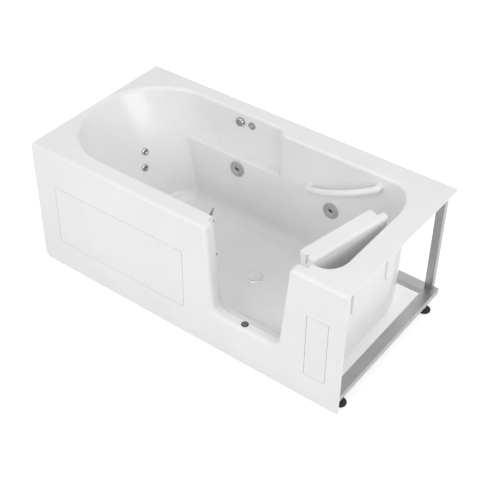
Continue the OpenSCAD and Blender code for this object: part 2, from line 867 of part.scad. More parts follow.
// Outline of the door's outer plate, moved in by inset
function plate_outline(inset) =
  let (
    low = plate_bottom + inset,
    tl = [opening_side(plate_left + inset, door_top, -1), door_top],
    bl = [opening_side(plate_left + inset, low, -1), low],
    br = [opening_side(plate_right - inset, low, 1), low],
    tr = [opening_side(plate_right - inset, door_top, 1), door_top],
    r = opening_round - door_gap
  )
  concat([tl], round_corner(tl, bl, br, r, arc_n), round_corner(bl, br, tr, r, arc_n), [tr]);

// Outline of the door's inner flange, moved in by inset
function flange_outline(inset, right, top) =
  let (
    low = flange_bottom + inset,
    tl = [opening_side(flange_left + inset, top, -1), top],
    bl = [opening_side(flange_left + inset, low, -1), low],
    br = [right, low],
    tr = [right, top],
    r = opening_round - flange_gap
  )
  concat([tl], round_corner(tl, bl, br, r, arc_n), round_corner(bl, br, tr, flange_round, arc_n), [tr]);

module door_panel() {
  plate_y = door_setback + plate_t;
  bevel = door_setback;
  color(gloss_white) door_pose() difference() {
    union() {
      loft([for (k = [0:1])
        [for (p = plate_outline(bevel * (1 - k) / 2)) [p[0], door_setback + bevel * k, p[1]]]]);
      slab(door_setback + bevel, plate_y) polygon(plate_outline(0));
      slab(plate_y, flange_y) polygon(plate_outline(groove_depth));
      slab(flange_y, water_y) polygon(flange_outline(0, flange_right, door_top));
    }
    door_top_cut();
    door_hinge_edge_cut();
    door_corner_cut(0);
    for (z = [hinge_low_z, hinge_high_z]) translate([hinge_x - knuckle_notch, 0, z - knuckle_gap])
      cube([2 * knuckle_notch, front_y + over, knuckle_h + 2 * knuckle_gap]);
    translate([hinge_x, hinge_y, pin_low - pin_clearance]) cylinder(r = pin_r + pin_clearance, h = door_top);
  }
}

// Rounds the door's upper edge on the water side
module door_top_cut() {
  translate([0, water_y - top_round, door_top - top_round]) difference() {
    cube([tub_l, top_round + over, top_round + over]);
    rotate([0, 90, 0]) cylinder(r = top_round, h = tub_l);
  }
}

// Rounds the flange's edge beside the hinge, so that it can turn in the jamb's step
module door_hinge_edge_cut() {
  translate([flange_right - flange_round, water_y - flange_round, 0]) difference() {
    cube([flange_round + over, flange_round + over, door_top + over]);
    cylinder(r = flange_round, h = door_top + over);
  }
}

// Lowers the flange beyond the plate's end, so that the door's top ends with its plate beside the hinge
module door_corner_cut(inset) {
  translate([plate_right + corner_past - inset, flange_y - seal_h - over, door_top - corner_drop - inset])
    cube([step_right - plate_right, front_y, corner_drop + inset + over]);
}

module door_seal() {
  right = hinge_x - pin_r;
  color(jet_grey) door_pose() difference() {
    slab(flange_y - seal_h, flange_y) polygon(flange_outline(seal_inset, right, door_top - seal_inset));
    slab(flange_y - seal_h - over, flange_y + over) polygon(plate_outline(groove_depth));
    door_corner_cut(seal_inset);
    translate([hinge_x - knuckle_notch, 0, 0])
      cube([2 * knuckle_notch, flange_y + over, flange_bottom + opening_round]);
    for (z = [hinge_low_z, hinge_high_z]) translate([hinge_x - knuckle_notch, 0, z - knuckle_gap])
      cube([2 * knuckle_notch, front_y + over, knuckle_h + 2 * knuckle_gap]);
  }
}

module hinge_pin() {
  color(steel_grey) placed() translate([hinge_x, hinge_y, pin_low])
    cylinder(r = pin_r, h = pin_top - pin_low);
}

// A knuckle on a leaf that lies against the side of the jamb's step
module hinge(z) {
  color(steel_grey) placed() difference() {
    union() {
      translate([hinge_x, hinge_y, z]) cylinder(r = knuckle_r, h = knuckle_h);
      translate([hinge_x, hinge_y - leaf_t, z]) cube([step_right - hinge_x, 2 * leaf_t, knuckle_h]);
      translate([step_right - leaf_t, step_y + leaf_seat, z]) cube([leaf_t, leaf_w, knuckle_h]);
    }
    translate([hinge_x, hinge_y, z - over]) cylinder(r = pin_r, h = knuckle_h + 2 * over);
  }
}

module hinge_upper() {
  hinge(hinge_high_z);
}

module hinge_lower() {
  hinge(hinge_low_z);
}

module hinge_screws() {
  color(chrome_grey) placed() for (z = [hinge_low_z, hinge_high_z]) for (s = [1, 3]) for (y = [0, 1])
    translate([step_right - leaf_t - hinge_screw_h, step_y + leaf_seat + hinge_screw_r + over
      + y * (leaf_w - 2 * hinge_screw_r - 2 * over), z + knuckle_h * s / 4])
      rotate([0, 90, 0]) cylinder(r = hinge_screw_r, h = hinge_screw_h);
}

function latch_x(z) = opening_side(step_left, z, -1) - latch_from_step;

module latch_base(z) {
  color(chrome_grey) placed() {
    rod_y(latch_x(z), z, rosette_r, front_y, front_y + rosette_t);
    rod_y(latch_x(z), z, spindle_r, front_y + rosette_t, front_y + rosette_t + lever_gap + hub_h);
  }
}

// An L-shaped lever: a tongue that turns over the door's edge, and a short thumb arm
module latch_lever(z, tilt) {
  low = front_y + lever_gap;
  hub_low = front_y + rosette_t + lever_gap;
  color(chrome_grey) placed() translate([latch_x(z), 0, z]) rotate([0, tilt, 0]) difference() {
    union() {
      rod_y(0, 0, hub_r, hub_low, hub_low + hub_h);
      translate([-lever_w / 2, hub_low, 0]) cube([lever_w, lever_t, crank_r + lever_t]);
      translate([-lever_w / 2, low, crank_r]) cube([lever_w, lever_t, tongue_l - crank_r - lever_w / 2]);
      rod_y(0, tongue_l - lever_w / 2, lever_w / 2, low, low + lever_t);
      translate([0, hub_low + thumb_lift / 2, -lever_w / 2]) cube([thumb_l - lever_w / 2, lever_t, lever_w]);
      rod_y(thumb_l - lever_w / 2, 0, lever_w / 2,
        hub_low + thumb_lift / 2, hub_low + thumb_lift / 2 + lever_t);
    }
    rod_y(0, 0, spindle_r + pin_clearance, low - over, hub_low + hub_h + over);
  }
}

module latch_base_upper() {
  latch_base(latch_high_z);
}

module latch_lever_upper() {
  latch_lever(latch_high_z, latch_high_tilt);
}

module latch_base_lower() {
  latch_base(latch_low_z);
}

module latch_lever_lower() {
  latch_lever(latch_low_z, latch_low_tilt);
}

module sill_drain_ring() {
  color(rubber_black) placed() translate([open_right - sill_drain_from, sill_drain_y, sill_z]) difference() {
    union() {
      cylinder(r = sill_ring_r, h = sill_ring_t);
      translate([0, 0, -sill_shank_l]) cylinder(r = sill_shank_r, h = sill_shank_l + over);
    }
    translate([0, 0, sill_cap_t - over]) cylinder(r = sill_cap_r, h = sill_ring_t);
  }
}

module sill_drain_cap() {
  color(jet_grey) placed()
    translate([open_right - sill_drain_from, sill_drain_y, sill_z + sill_cap_t - over]) {
    cylinder(r = sill_cap_r, h = sill_cap_t);
  }
}

module drain_place() {
  translate([tub_l - drain_from_foot, drain_y, basin_floor_z]) children();
}

module drain_flange() {
  color(chrome_grey) placed() drain_place() difference() {
    union() {
      cylinder(r = drain_r, h = drain_t);
      translate([0, 0, shoe_top - basin_floor_z]) cylinder(r = drain_shank_r, h = basin_floor_z - shoe_top);
    }
    difference() {
      translate([0, 0, shoe_top - basin_floor_z - over]) cylinder(r = drain_bore_r, h = basin_floor_z);
      translate([0, 0, shoe_top - basin_floor_z]) {
        cylinder(r = guide_r + guide_web, h = guide_web);
        for (a = [0, 60, 120]) rotate([0, 0, a]) translate([-drain_shank_r, -guide_web / 2, 0])
          cube([2 * drain_shank_r, guide_web, guide_web]);
      }
    }
    translate([0, 0, shoe_top - basin_floor_z - over]) cylinder(r = guide_r, h = guide_web + 2 * over);
  }
}

module drain_stopper() {
  color(gloss_white) placed() drain_place() translate([0, 0, drain_t + stopper_gap]) {
    cylinder(r = stopper_r, h = stopper_t);
    translate([0, 0, -basin_floor_z + shoe_top - drain_seat])
      cylinder(r = stopper_stem_r, h = basin_floor_z - shoe_top + drain_seat);
  }
}

// The drain shoe under the basin, with its outlet towards the back
module drain_shoe() {
  x = tub_l - drain_from_foot;
  color(pipe_white) placed() difference() {
    union() {
      translate([x, drain_y, shoe_low]) cylinder(r = shoe_r, h = shoe_top - shoe_low);
      rod_y(x, outlet_z, outlet_r, drain_y, outlet_end_y);
      rod_y(x, outlet_z, outlet_collar_r,
        outlet_end_y - outlet_spigot_l - outlet_collar_t, outlet_end_y - outlet_spigot_l);
    }
    translate([x, drain_y, shoe_low + outlet_wall]) cylinder(r = drain_bore_r, h = shoe_top);
    rod_y(x, outlet_z, outlet_r - outlet_wall, drain_y, outlet_end_y + over);
  }
}

// Ends of the grab bar on the back wall
bar_a = [bar_head_x, back_wall_y(bar_head_z), bar_head_z];
bar_b = [tub_l - bar_from_foot, back_wall_y(bar_foot_z), bar_foot_z];

// Two short legs, two elbows and a bow between them; the elbows are a hair thicker
module grab_bar() {
  chord = bar_b - bar_a;
  l = norm(chord);
  bow = 2 * atan(2 * bar_stand * bow_share / l);
  bow_r = (l / 2 - bar_elbow_r * (1 - sin(bow))) / sin(bow);
  leg = bar_stand - bar_elbow_r * cos(bow) - bow_r * (1 - cos(bow));
  lap = asin(bar_lap / bow_r);
  color(gloss_white) placed() translate(bar_a)
    rotate([0, -asin(chord[2] / l), atan2(chord[1], chord[0])]) {
    for (x = [0, l]) translate([x, -bar_start, 0]) rotate([90, 0, 0])
      cylinder(r = bar_r, h = leg + bar_lap - bar_start);
    translate([bar_elbow_r, -leg, 0]) bend(180, 90 - bow, bar_elbow_r, bar_r + bar_step);
    translate([l / 2, bow_r - bar_stand, 0]) bend(270 - bow - lap, 2 * bow + 2 * lap, bow_r, bar_r);
    translate([l - bar_elbow_r, -leg, 0]) bend(270 + bow, 90 - bow, bar_elbow_r, bar_r + bar_step);
  }
}

module bend(from, sweep, r, thick) {
  rotate([0, 0, from]) rotate_extrude(angle = sweep) translate([r, 0]) circle(r = thick);
}

module grab_bar_flanges() {
  color(gloss_white) placed() for (p = [bar_a, bar_b]) translate(p) rotate([90 - back_wall_lean(p[2]), 0, 0])
    translate([0, 0, seat_gap]) cylinder(r = bar_flange_r, h = bar_flange_t);
}

// On the back wall at a large jet, with +Z out of the wall and into the basin
module jet_place(x) {
  translate([x, back_wall_y(jet_z), jet_z]) rotate([90 - back_wall_lean(jet_z), 0, 0])
    translate([0, 0, seat_gap]) children();
}

module jet_body(x) {
  color(pipe_white) placed() jet_place(x) difference() {
    translate([0, 0, -jet_body_l - wall_t]) cylinder(r = jet_body_r, h = jet_body_l + wall_t);
    translate([0, 0, -jet_body_l]) cylinder(r = jet_body_r - pipe_wall, h = jet_body_l + over);
  }
}

module jet_ring(x) {
  color(jet_grey) placed() jet_place(x) difference() {
    union() {
      cylinder(r = jet_r, h = jet_ring_t / 2);
      translate([0, 0, jet_ring_t / 2]) cylinder(r1 = jet_r, r2 = jet_r - jet_ring_t, h = jet_ring_t / 2);
    }
    translate([0, 0, -over]) cylinder(r = nozzle_r + nozzle_gap, h = jet_ring_t + 2 * over);
  }
}

module jet_nozzle(x) {
  color(rubber_black) placed() jet_place(x) difference() {
    union() {
      translate([0, 0, nozzle_gap]) cylinder(r = nozzle_r, h = jet_ring_t - 2 * nozzle_gap);
      translate([0, 0, -nozzle_r / 2]) cylinder(r = nozzle_r - jet_ring_t, h = nozzle_r / 2 + nozzle_gap);
    }
    rotate([0, nozzle_tilt, 0]) cylinder(r = nozzle_bore_r, h = 4 * nozzle_r, center = true);
  }
}

module jet_body_head() {
  jet_body(jet_head_x);
}

module jet_body_foot() {
  jet_body(tub_l - jet_from_foot);
}

module jet_ring_head() {
  jet_ring(jet_head_x);
}

module jet_ring_foot() {
  jet_ring(tub_l - jet_from_foot);
}

module jet_nozzle_head() {
  jet_nozzle(jet_head_x);
}

module jet_nozzle_foot() {
  jet_nozzle(tub_l - jet_from_foot);
}

// The four back jets: an upper and a lower one on each side of the tub's middle line
function back_jet_at(j) = let (side = j < 2 ? 1 : -1, low = j % 2)
  [side * (low == 1 ? back_jet_low_angle : back_jet_angle), low == 1 ? back_jet_low_z : back_jet_z];
function back_jet_point(j) = bow_point(back_jet_at(j)[1], back_jet_at(j)[0], 0);
function back_jet_normal(j) =
  let (
    a = back_jet_at(j)[0],
    z = back_jet_at(j)[1],
    along = bow_point(z, a + 1, 0) - bow_point(z, a - 1, 0),
    up = bow_point(z + over, a, 0) - bow_point(z - over, a, 0),
    n = cross(up, along)
  )
  n[0] > 0 ? n / norm(n) : -n / norm(n);

module back_jet_place(j) {
  translate(back_jet_point(j) + back_jet_seat * back_jet_normal(j)) turn_to(back_jet_normal(j)) children();
}

module back_jet_bodies() {
  color(chrome_grey) placed() for (j = [0:3]) back_jet_place(j) difference() {
    union() {
      cylinder(r = back_jet_r, h = back_jet_t);
      translate([0, 0, -back_jet_body_l]) cylinder(r = back_jet_body_r, h = back_jet_body_l);
    }
    translate([0, 0, back_jet_t / 4 - back_nozzle_t])
      cylinder(r = back_nozzle_r, h = back_nozzle_t + back_jet_t);
  }
}

module back_jet_nozzles() {
  color(rubber_black) placed() for (j = [0:3]) back_jet_place(j)
    translate([0, 0, back_jet_t / 4 - back_nozzle_t])
    difference() {
      cylinder(r = back_nozzle_r, h = back_nozzle_t);
      translate([0, 0, -over]) cylinder(r = back_nozzle_bore_r, h = back_nozzle_t + 2 * over);
    }
}

control_y = bow_y + bow_b;

// A round body through the recess wall, with a thin plate on the basin side
module control_body(x, plate_r, plate_t, bore_r, bore_depth) {
  difference() {
    union() {
      rod_y(x, control_z, plate_r, control_y - plate_t, control_y);
      rod_y(x, control_z, control_body_r, control_y, control_y + control_body_l);
    }
    rod_y(x, control_z, bore_r, control_y - plate_t - over, control_y - plate_t + bore_depth);
  }
}

module air_control_body() {
  color(chrome_grey) placed() control_body(air_x, knob_r - control_plate_t, control_plate_t,
    spindle_knob_r + pin_clearance, control_body_l / 2);
}

module air_control_knob() {
  low = control_y - control_plate_t - control_gap;
  color(chrome_grey) placed() difference() {
    union() {
      rod_y(air_x, control_z, knob_r, low - knob_t / 2, low);
      rod_y(air_x, control_z, knob_r - control_plate_t, low - knob_t, low - knob_t / 2);
      rod_y(air_x, control_z, spindle_knob_r, low, control_y + control_body_l / 4);
    }
    for (k = [0:7]) translate([air_x, 0, control_z]) rotate([0, k * 45, 0])
      rod_y(0, knob_r + control_plate_t / 2, control_plate_t * 2, low - knob_t - over, low + over);
  }
}

module button_body() {
  color(chrome_grey) placed() control_body(button_x, button_ring_r, button_ring_t, button_r + control_gap,
    button_ring_t + button_travel);
}

module pump_button() {
  low = control_y - button_ring_t;
  color(jet_grey) placed() {
    rod_y(button_x, control_z, button_r, low - button_t + button_travel, low + button_ring_t - control_gap);
  }
}

module pump_shelf() {
  color(steel_grey) placed() {
    translate([shelf_x, rail_front_y + post_w + over, rail_top]) cube([shelf_l, shelf_w, shelf_t]);
    for (x = [motor_x + motor_cap_l, motor_x + motor_l - 2 * cradle_w]) difference() {
      translate([x, pump_y - motor_r / 2, rail_top + shelf_t])
        cube([cradle_w, motor_r, pump_z - rail_top - shelf_t - motor_r / 2]);
      translate([x - over, pump_y, pump_z]) rotate([0, 90, 0]) cylinder(r = motor_r, h = cradle_w + 2 * over);
    }
  }
}

module pump_motor() {
  color(pump_grey) placed() translate([motor_x, pump_y, pump_z]) rotate([0, 90, 0]) {
    difference() {
      cylinder(r = motor_r, h = motor_l);
      for (k = [0:fin_n - 1]) rotate([0, 0, 360 * (k + 0.5) / fin_n])
        translate([motor_r - fin_h, -fin_t / 2, -over])
        cube([2 * fin_h, fin_t, motor_cap_l + over]);
    }
  }
}

module pump_volute() {
  color(pump_grey) placed() difference() {
    union() {
      translate([motor_x + motor_l, pump_y, pump_z]) rotate([0, 90, 0]) cylinder(r = volute_r, h = volute_l);
      translate([volute_x(), pump_y, pump_z]) cylinder(r = pipe_r + pipe_wall, h = volute_r + pipe_r);
      translate([motor_x + motor_l, pump_y, pump_z]) rotate([0, 90, 0])
        cylinder(r = suction_pipe_r + pipe_wall, h = volute_l + pipe_r);
    }
    translate([volute_x(), pump_y, pump_z]) cylinder(r = pipe_r - pipe_wall, h = volute_r + pipe_r + over);
    translate([volute_x(), pump_y, pump_z]) rotate([0, 90, 0])
      cylinder(r = suction_pipe_r - pipe_wall, h = volute_l + pipe_r);
  }
}

function volute_x() = motor_x + motor_l + volute_l / 2;

module pump_terminal_box() {
  x = motor_x + (motor_l - box_l) / 2;
  top = pump_z + motor_r;
  color(pump_grey) placed() difference() {
    union() {
      translate([x, pump_y - box_w / 2, top - fin_h]) cube([box_l, box_w, box_h + fin_h]);
      translate([x - gland_l, pump_y, top + box_h / 2]) rotate([0, 90, 0]) cylinder(r = gland_r, h = gland_l);
    }
    translate([motor_x - over, pump_y, pump_z]) rotate([0, 90, 0])
      cylinder(r = motor_r, h = motor_l + 2 * over);
    translate([x - gland_l - over, pump_y, top + box_h / 2]) rotate([0, 90, 0])
      cylinder(r = gland_bore_r, h = gland_l + over);
  }
}

module suction_body() {
  back = front_y - wall_t - suction_body_l;
  color(pipe_white) placed() difference() {
    rod_y(suction_x, suction_z, suction_hole_r, back, front_y);
    rod_y(suction_x, suction_z, suction_hole_r - outlet_wall, back + outlet_wall, front_y + over);
  }
}

module suction_cover() {
  color(gloss_white) placed() difference() {
    rod_y(suction_x, suction_z, suction_r, front_y, front_y + suction_t);
    for (k = [0:suction_slot_n - 1]) translate([suction_x - suction_slot_l / 2,
      front_y - over, suction_z + (k - (suction_slot_n - 1) / 2) * suction_slot_step - suction_slot_w / 2])
      cube([suction_slot_l, suction_t + 2 * over, suction_slot_w]);
  }
}

module suction_pipe() {
  y = (skin_t + front_y - wall_t) / 2;
  end = motor_x + motor_l + volute_l + pipe_r;
  turn = end + suction_turn;
  start = [suction_x - suction_hole_r + pipe_wall, y, suction_z];
  bends = [[turn, y, suction_z], [turn, y, pump_z], [turn, pump_y, pump_z]];
  line = concat([start], bends, [[end - pipe_wall, pump_y, pump_z]]);
  color(pipe_white) placed() pipes([line], [], suction_pipe_r, pipe_wall);
}

// From the pump round the head end and along the back, with a branch up into each large jet
module pressure_pipe() {
  x = volute_x();
  z = pipe_z;
  top = pump_z + volute_r + pipe_r - pipe_wall;
  far = tub_l - jet_from_foot;
  up = jet_z - jet_body_r + pipe_wall;
  from_pump = [[x, pump_y, top], [x, pump_y, z], [pipe_x, pump_y, z], [pipe_x, pipe_y, z]];
  to_foot_jet = [[far, pipe_y, z], [far, jet_branch_y, z], [far, jet_branch_y, up]];
  tee = [jet_head_x, pipe_y, z];
  to_head_jet = [[jet_head_x, jet_branch_y, z], [jet_head_x, jet_branch_y, up]];
  color(pipe_white) placed() pipes(
    [concat(from_pump, to_foot_jet), concat([tee], to_head_jet)], [[tee, to_head_jet[0]]], pipe_r, pipe_wall);
}

module back_jet_hoses() {
  color(pipe_white) placed() for (j = [0:3]) {
    tail = back_jet_point(j) - back_jet_normal(j) * (back_jet_body_l - pipe_wall);
    run([tail, [pipe_x + pipe_r - pipe_wall, tail[1], pipe_z]], hose_r);
  }
}

// From the air control down behind the recess and along to both large jets
module air_hose() {
  far = tub_l - jet_from_foot;
  end = back_wall_y(jet_z) + wall_t + jet_body_l - hose_lap;
  start = [air_x, control_y + control_body_l - hose_lap, control_z];
  down = [[air_x, hose_y, control_z], [air_x, hose_y, hose_z]];
  to_foot_jet = [[far, hose_y, hose_z], [far, hose_y, jet_z], [far, end, jet_z]];
  color(jet_grey) placed() {
    run(concat([start], down, to_foot_jet), hose_r);
    run([[jet_head_x, hose_y, hose_z], [jet_head_x, hose_y, jet_z], [jet_head_x, end, jet_z]], hose_r);
  }
}

// From the pump button to the air switch on the pump's terminal box
module button_tube() {
  x = motor_x + motor_l / 2;
  y = pump_y + box_w / 2 - 2 * tube_r;
  start = [button_x, tube_y, control_z - control_body_r + tube_r];
  back = [[button_x, tube_y, tube_z], [tube_x, tube_y, tube_z], [tube_x, tube_y, tube_low_z]];
  front = [[tube_x, y, tube_low_z], [x, y, tube_low_z], [x, y, pump_z + motor_r + box_h - tube_r]];
  color(jet_grey) placed() run(concat([start], back, front), tube_r);
}

tub_shell();
large_access_panel();
small_access_panel();
panel_clips();
base_rail_front();
base_rail_back();
base_rail_head();
base_rail_foot();
cross_rails();
post_front_head();
post_front_foot();
post_back_head();
post_back_foot();
top_rail_back();
foot_pads();
foot_stems();
foot_lock_nuts();
door_panel();
door_seal();
hinge_pin();
hinge_upper();
hinge_lower();
hinge_screws();
latch_base_upper();
latch_lever_upper();
latch_base_lower();
latch_lever_lower();
sill_drain_ring();
sill_drain_cap();
drain_flange();
drain_stopper();
drain_shoe();
grab_bar();
grab_bar_flanges();
jet_body_head();
jet_body_foot();
jet_ring_head();
jet_ring_foot();
jet_nozzle_head();
jet_nozzle_foot();
back_jet_bodies();
back_jet_nozzles();
air_control_body();
air_control_knob();
button_body();
pump_button();
pump_shelf();
pump_motor();
pump_volute();
pump_terminal_box();
suction_body();
suction_cover();
suction_pipe();
pressure_pipe();
back_jet_hoses();
air_hose();
button_tube();
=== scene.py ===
"""Looks of a low walk-in bathtub: a glossy white acrylic shell on a steel base frame, its door swung open.

Sizes and places are in millimetres, as in the part's source: X from the head end of the deck, Y from the
front apron, Z from the floor. at() turns them to the shared frame, in metres.
"""

import math

import bmesh
import bpy
from mathutils import Matrix, Vector


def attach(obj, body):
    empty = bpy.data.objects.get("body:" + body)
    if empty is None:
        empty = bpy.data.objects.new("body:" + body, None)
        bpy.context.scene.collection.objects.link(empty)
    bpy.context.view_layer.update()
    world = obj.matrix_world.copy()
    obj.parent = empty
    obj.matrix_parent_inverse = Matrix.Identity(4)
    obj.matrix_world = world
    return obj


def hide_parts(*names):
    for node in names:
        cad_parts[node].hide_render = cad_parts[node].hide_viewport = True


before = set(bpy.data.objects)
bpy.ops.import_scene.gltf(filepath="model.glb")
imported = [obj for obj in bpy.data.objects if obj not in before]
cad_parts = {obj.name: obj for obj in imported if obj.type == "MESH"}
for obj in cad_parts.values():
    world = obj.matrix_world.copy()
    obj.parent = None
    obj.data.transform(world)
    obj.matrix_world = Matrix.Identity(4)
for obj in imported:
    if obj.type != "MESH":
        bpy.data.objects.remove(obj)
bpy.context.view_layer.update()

# Deck and basin
LENGTH, WIDTH, HEIGHT = 1524, 780, 597
SHEET = 8
SHEET_EDGE = 1.2
APRON_GAP = 5
DECK_ROUND = 14
CORNER_CUT = (12, 38)
HEAD_DECK = 12
FRONT, BACK, FOOT = 82, 673, 1418
FLOOR, UNDERSIDE, LEDGE = 105, 80, 385
BOW_L, BOW_W, BOW_Y = 290, 314.5, 396.5
REAR = BOW_Y + BOW_W
BACK_REACH, BACK_BEND = 232, 0.24
BACK_DRAFT, BACK_CURVE, FOOT_DRAFT = 33, 1.5, 18
RECESS_END, RECESS_STEP, RECESS_ROUNDS = 741, 34, (30, 26)
# Foot end corners of the basin, each as its reach along X and along Y
BACK_CORNER, FRONT_CORNER = (110, 172), (70, 90)
RIM, FLOOR_ROUND, UNDER_ROUND = 12, 45, 40
WALL, FOOT_WALL = 12, 18
# Moulded pads on the foot end wall: half width, half height, corner radius and height of the middle
PAD_FACE, PAD_Y, PAD_HALF, PAD_ROUND, PAD_Z = 1443, (216, 459), (29, 55), 14, 380

# Door opening, and the step in it that the door's flange closes on
OPEN_LEFT, OPEN_RIGHT, SILL = 898, 1274, 185
STEP_LEFT, STEP_RIGHT, STEP_SILL = 876, 1322, 165
STEP_Y, STEP_EDGE = 46, 3
SLOPE_ANGLE = math.radians(5)
SLOPE = math.tan(SLOPE_ANGLE)
# Which way a side leans
LATCH_SIDE, UPRIGHT, HINGE_SIDE = -1, 0, 1
OPEN_ROUND, HINGE_ROUND = 45, 5
OPEN_ROLL, OPEN_FLARE, INNER_EDGE = 20, 22, 6

# Access panels as X, Z, length and height, and the land that each lies on
LARGE_PANEL, SMALL_PANEL = (108, 138, 677, 288), (1362, 127, 95, 297)
PANEL_LAND, PANEL_SHEET_T = 12, 3

# Door: plate in the opening, flange behind it on the step
HINGE_X, HINGE_Y = 1300, 65
HINGE_Z, KNUCKLE, KNUCKLE_GAP = (215, 517), 36, 0.5
OPEN_ANGLE = math.radians(101.5)
DOOR_TOP = 602
DOOR_FACE, PLATE_BACK, FLANGE_FACE, FLANGE_BACK = 6, 39, 54, 81.5
PLATE_LEFT, PLATE_RIGHT, PLATE_LOW, PLATE_ROUND = 904, 1268, 191, 39
FLANGE_LEFT, FLANGE_RIGHT, FLANGE_LOW, FLANGE_ROUND = 880, 1312, 169, 41
TOP_ROUND, HINGE_EDGE, LEAF_TIP = 14, 10, 5
# Groove for the seal between plate and flange, as depth and how far in
GROOVE = ((40, 2.4), (42, 4.4), (44.5, 5.7), (47, 6), (49.5, 5.2), (51.8, 3.2), (53.2, 0.6))
# Lowered corner at the hinge: how far past the plate, how far down, and its three radii
CORNER_PAST, CORNER_DROP, CORNER_ROUNDS = 4, 30, (5, 8, 6)

# Fittings
DRAIN = (878, 346, FLOOR)
SILL_DRAIN = (1068, 29, SILL)
SUCTION = (600, FRONT, 205)
JET_X, JET_Z = (551, 1037), 335
JET_HOLE, BACK_JET_HOLE, CONTROL_HOLE, SUCTION_HOLE, DRAIN_HOLE, SILL_HOLE = 26, 11.4, 14.4, 30, 26.4, 9.4
# Back jets as degrees round the head end and height
BACK_JETS = ((19.5, 348), (14, 285))
AIR_CONTROL, BUTTON_SEAT = (532, REAR, 548), (591, REAR, 548)
BAR_LOW, BAR_HIGH, BAR_STAND, BAR_BOW, BAR_ELBOW, BAR_R = (927, 409), (1244.5, 545), 58, 0.56, 20, 15
OVER = 1
UP, OUT_OF_WALL, INTO_WALL = (0, 0, 1), (0, -1, 0), (0, 1, 0)


def at(x, y, z):
    return Vector(((x - LENGTH / 2) / 1000, (y - WIDTH / 2) / 1000, z / 1000))


def arc(start, end, steps):
    """Angles in radians from start to end, given in degrees."""
    return [math.radians(start + (end - start) * i / steps) for i in range(steps + 1)]


def curve(x, y, r, start, end, steps):
    """Points on an arc of radius r about (x, y), from start to end in degrees."""
    return [(x + r * math.cos(a), y + r * math.sin(a)) for a in arc(start, end, steps)]


# Meshes


def new_object(name, data):
    """An object in the scene, from a mesh, a light or a camera."""
    piece = bpy.data.objects.new(name, data)
    bpy.context.scene.collection.objects.link(piece)
    return piece


def closed(name, points, faces):
    """A closed mesh from points in millimetres, its doubles merged and its faces turned outwards."""
    mesh = bpy.data.meshes.new(name)
    mesh.from_pydata([at(*p) for p in points], [], faces)
    tidy(mesh)
    return new_object(name, mesh)


def tidy(mesh):
    work = bmesh.new()
    work.from_mesh(mesh)
    bmesh.ops.remove_doubles(work, verts=work.verts, dist=1e-6)
    bmesh.ops.dissolve_degenerate(work, edges=work.edges, dist=1e-7)
    bmesh.ops.recalc_face_normals(work, faces=work.faces)
    if work.calc_volume(signed=True) < 0:
        bmesh.ops.reverse_faces(work, faces=work.faces)
    work.to_mesh(mesh)
    work.free()


def loft(name, rings):
    """A closed solid through rings of equally many points."""
    n = len(rings[0])
    points = [p for ring in rings for p in ring]
    faces = [
        [k * n + i, k * n + (i + 1) % n, (k + 1) * n + (i + 1) % n, (k + 1) * n + i]
        for k in range(len(rings) - 1)
        for i in range(n)
    ]
    faces += [list(range(n))[::-1], list(range(len(points) - n, len(points)))]
    return closed(name, points, faces)


def baked(piece):
    """The piece with its modifiers applied to its mesh."""
    bpy.context.view_layer.update()
    graph = bpy.context.evaluated_depsgraph_get()
    mesh = bpy.data.meshes.new_from_object(piece.evaluated_get(graph))
    piece.modifiers.clear()
    piece.data = mesh
    return piece


def carve(piece, others, operation="DIFFERENCE"):
    """Takes other solids away from a piece, or joins them to it, and removes them."""
    for other in others:
        step = piece.modifiers.new("carve", "BOOLEAN")
        step.operation = operation
        step.solver = "MANIFOLD"
        step.object = other
    baked(piece)
    for other in others:
        bpy.data.objects.remove(other)
    return piece


def round_edges(piece, width, angle):
    bevel = piece.modifiers.new("round edges", "BEVEL")
    bevel.width = width / 1000
    bevel.segments = 2
    bevel.limit_method = "ANGLE"
    bevel.angle_limit = math.radians(angle)
    return piece


def smooth(piece, angle=35):
    """Smooth shading, kept sharp at real edges, with flat faces staying flat."""
    mesh = piece.data
    mesh.polygons.foreach_set("use_smooth", [True] * len(mesh.polygons))
    mesh.set_sharp_from_angle(angle=math.radians(angle))
    weighted = piece.modifiers.new("even shading", "WEIGHTED_NORMAL")
    weighted.keep_sharp = True
    return piece


def joined(name, pieces):
    """One object from several."""
    work = bmesh.new()
    for piece in pieces:
        work.from_mesh(piece.data)
        bpy.data.objects.remove(piece)
    mesh = bpy.data.meshes.new(name)
    work.to_mesh(mesh)
    work.free()
    return new_object(name, mesh)


def shown(piece, finish, node=None, body="tub"):
    """Gives a finished piece its material, unless a tree did, body and the node it replaces."""
    if finish:
        piece.data.materials.clear()
        piece.data.materials.append(finish)
    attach(piece, body)
    if node:
        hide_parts(node)


def standing(point, normal):
    """Matrix from a fitting's own frame, in metres with +Z along the normal, to its place on the part."""
    turn = Vector(normal).normalized().to_track_quat("Z", "Y").to_matrix().to_4x4()
    return Matrix.Translation(at(*point)) @ turn


def turned(name, profile, place, segments=64):
    """A body of revolution from a closed loop of (radius, height) in millimetres."""
    work = bmesh.new()
    rows = []
    for radius, height in profile:
        ring = curve(0, 0, radius / 1000, 0, 360 - 360 / segments, segments - 1) if radius else [(0, 0)]
        rows.append([work.verts.new((x, y, height / 1000)) for x, y in ring])
    on_axis = profile[0][0] == 0 and profile[-1][0] == 0
    pairs = list(zip(rows, rows[1:]))
    if not on_axis:
        pairs.append((rows[-1], rows[0]))
    for low, high in pairs:
        for i in range(segments):
            j = (i + 1) % segments
            corners = []
            for row, index in ((low, i), (low, j), (high, j), (high, i)):
                vert = row[index] if len(row) > 1 else row[0]
                if vert not in corners:
                    corners.append(vert)
            if len(corners) > 2:
                work.faces.new(corners)
    bmesh.ops.recalc_face_normals(work, faces=work.faces)
    mesh = bpy.data.meshes.new(name)
    work.to_mesh(mesh)
    work.free()
    mesh.transform(place)
    return new_object(name, mesh)


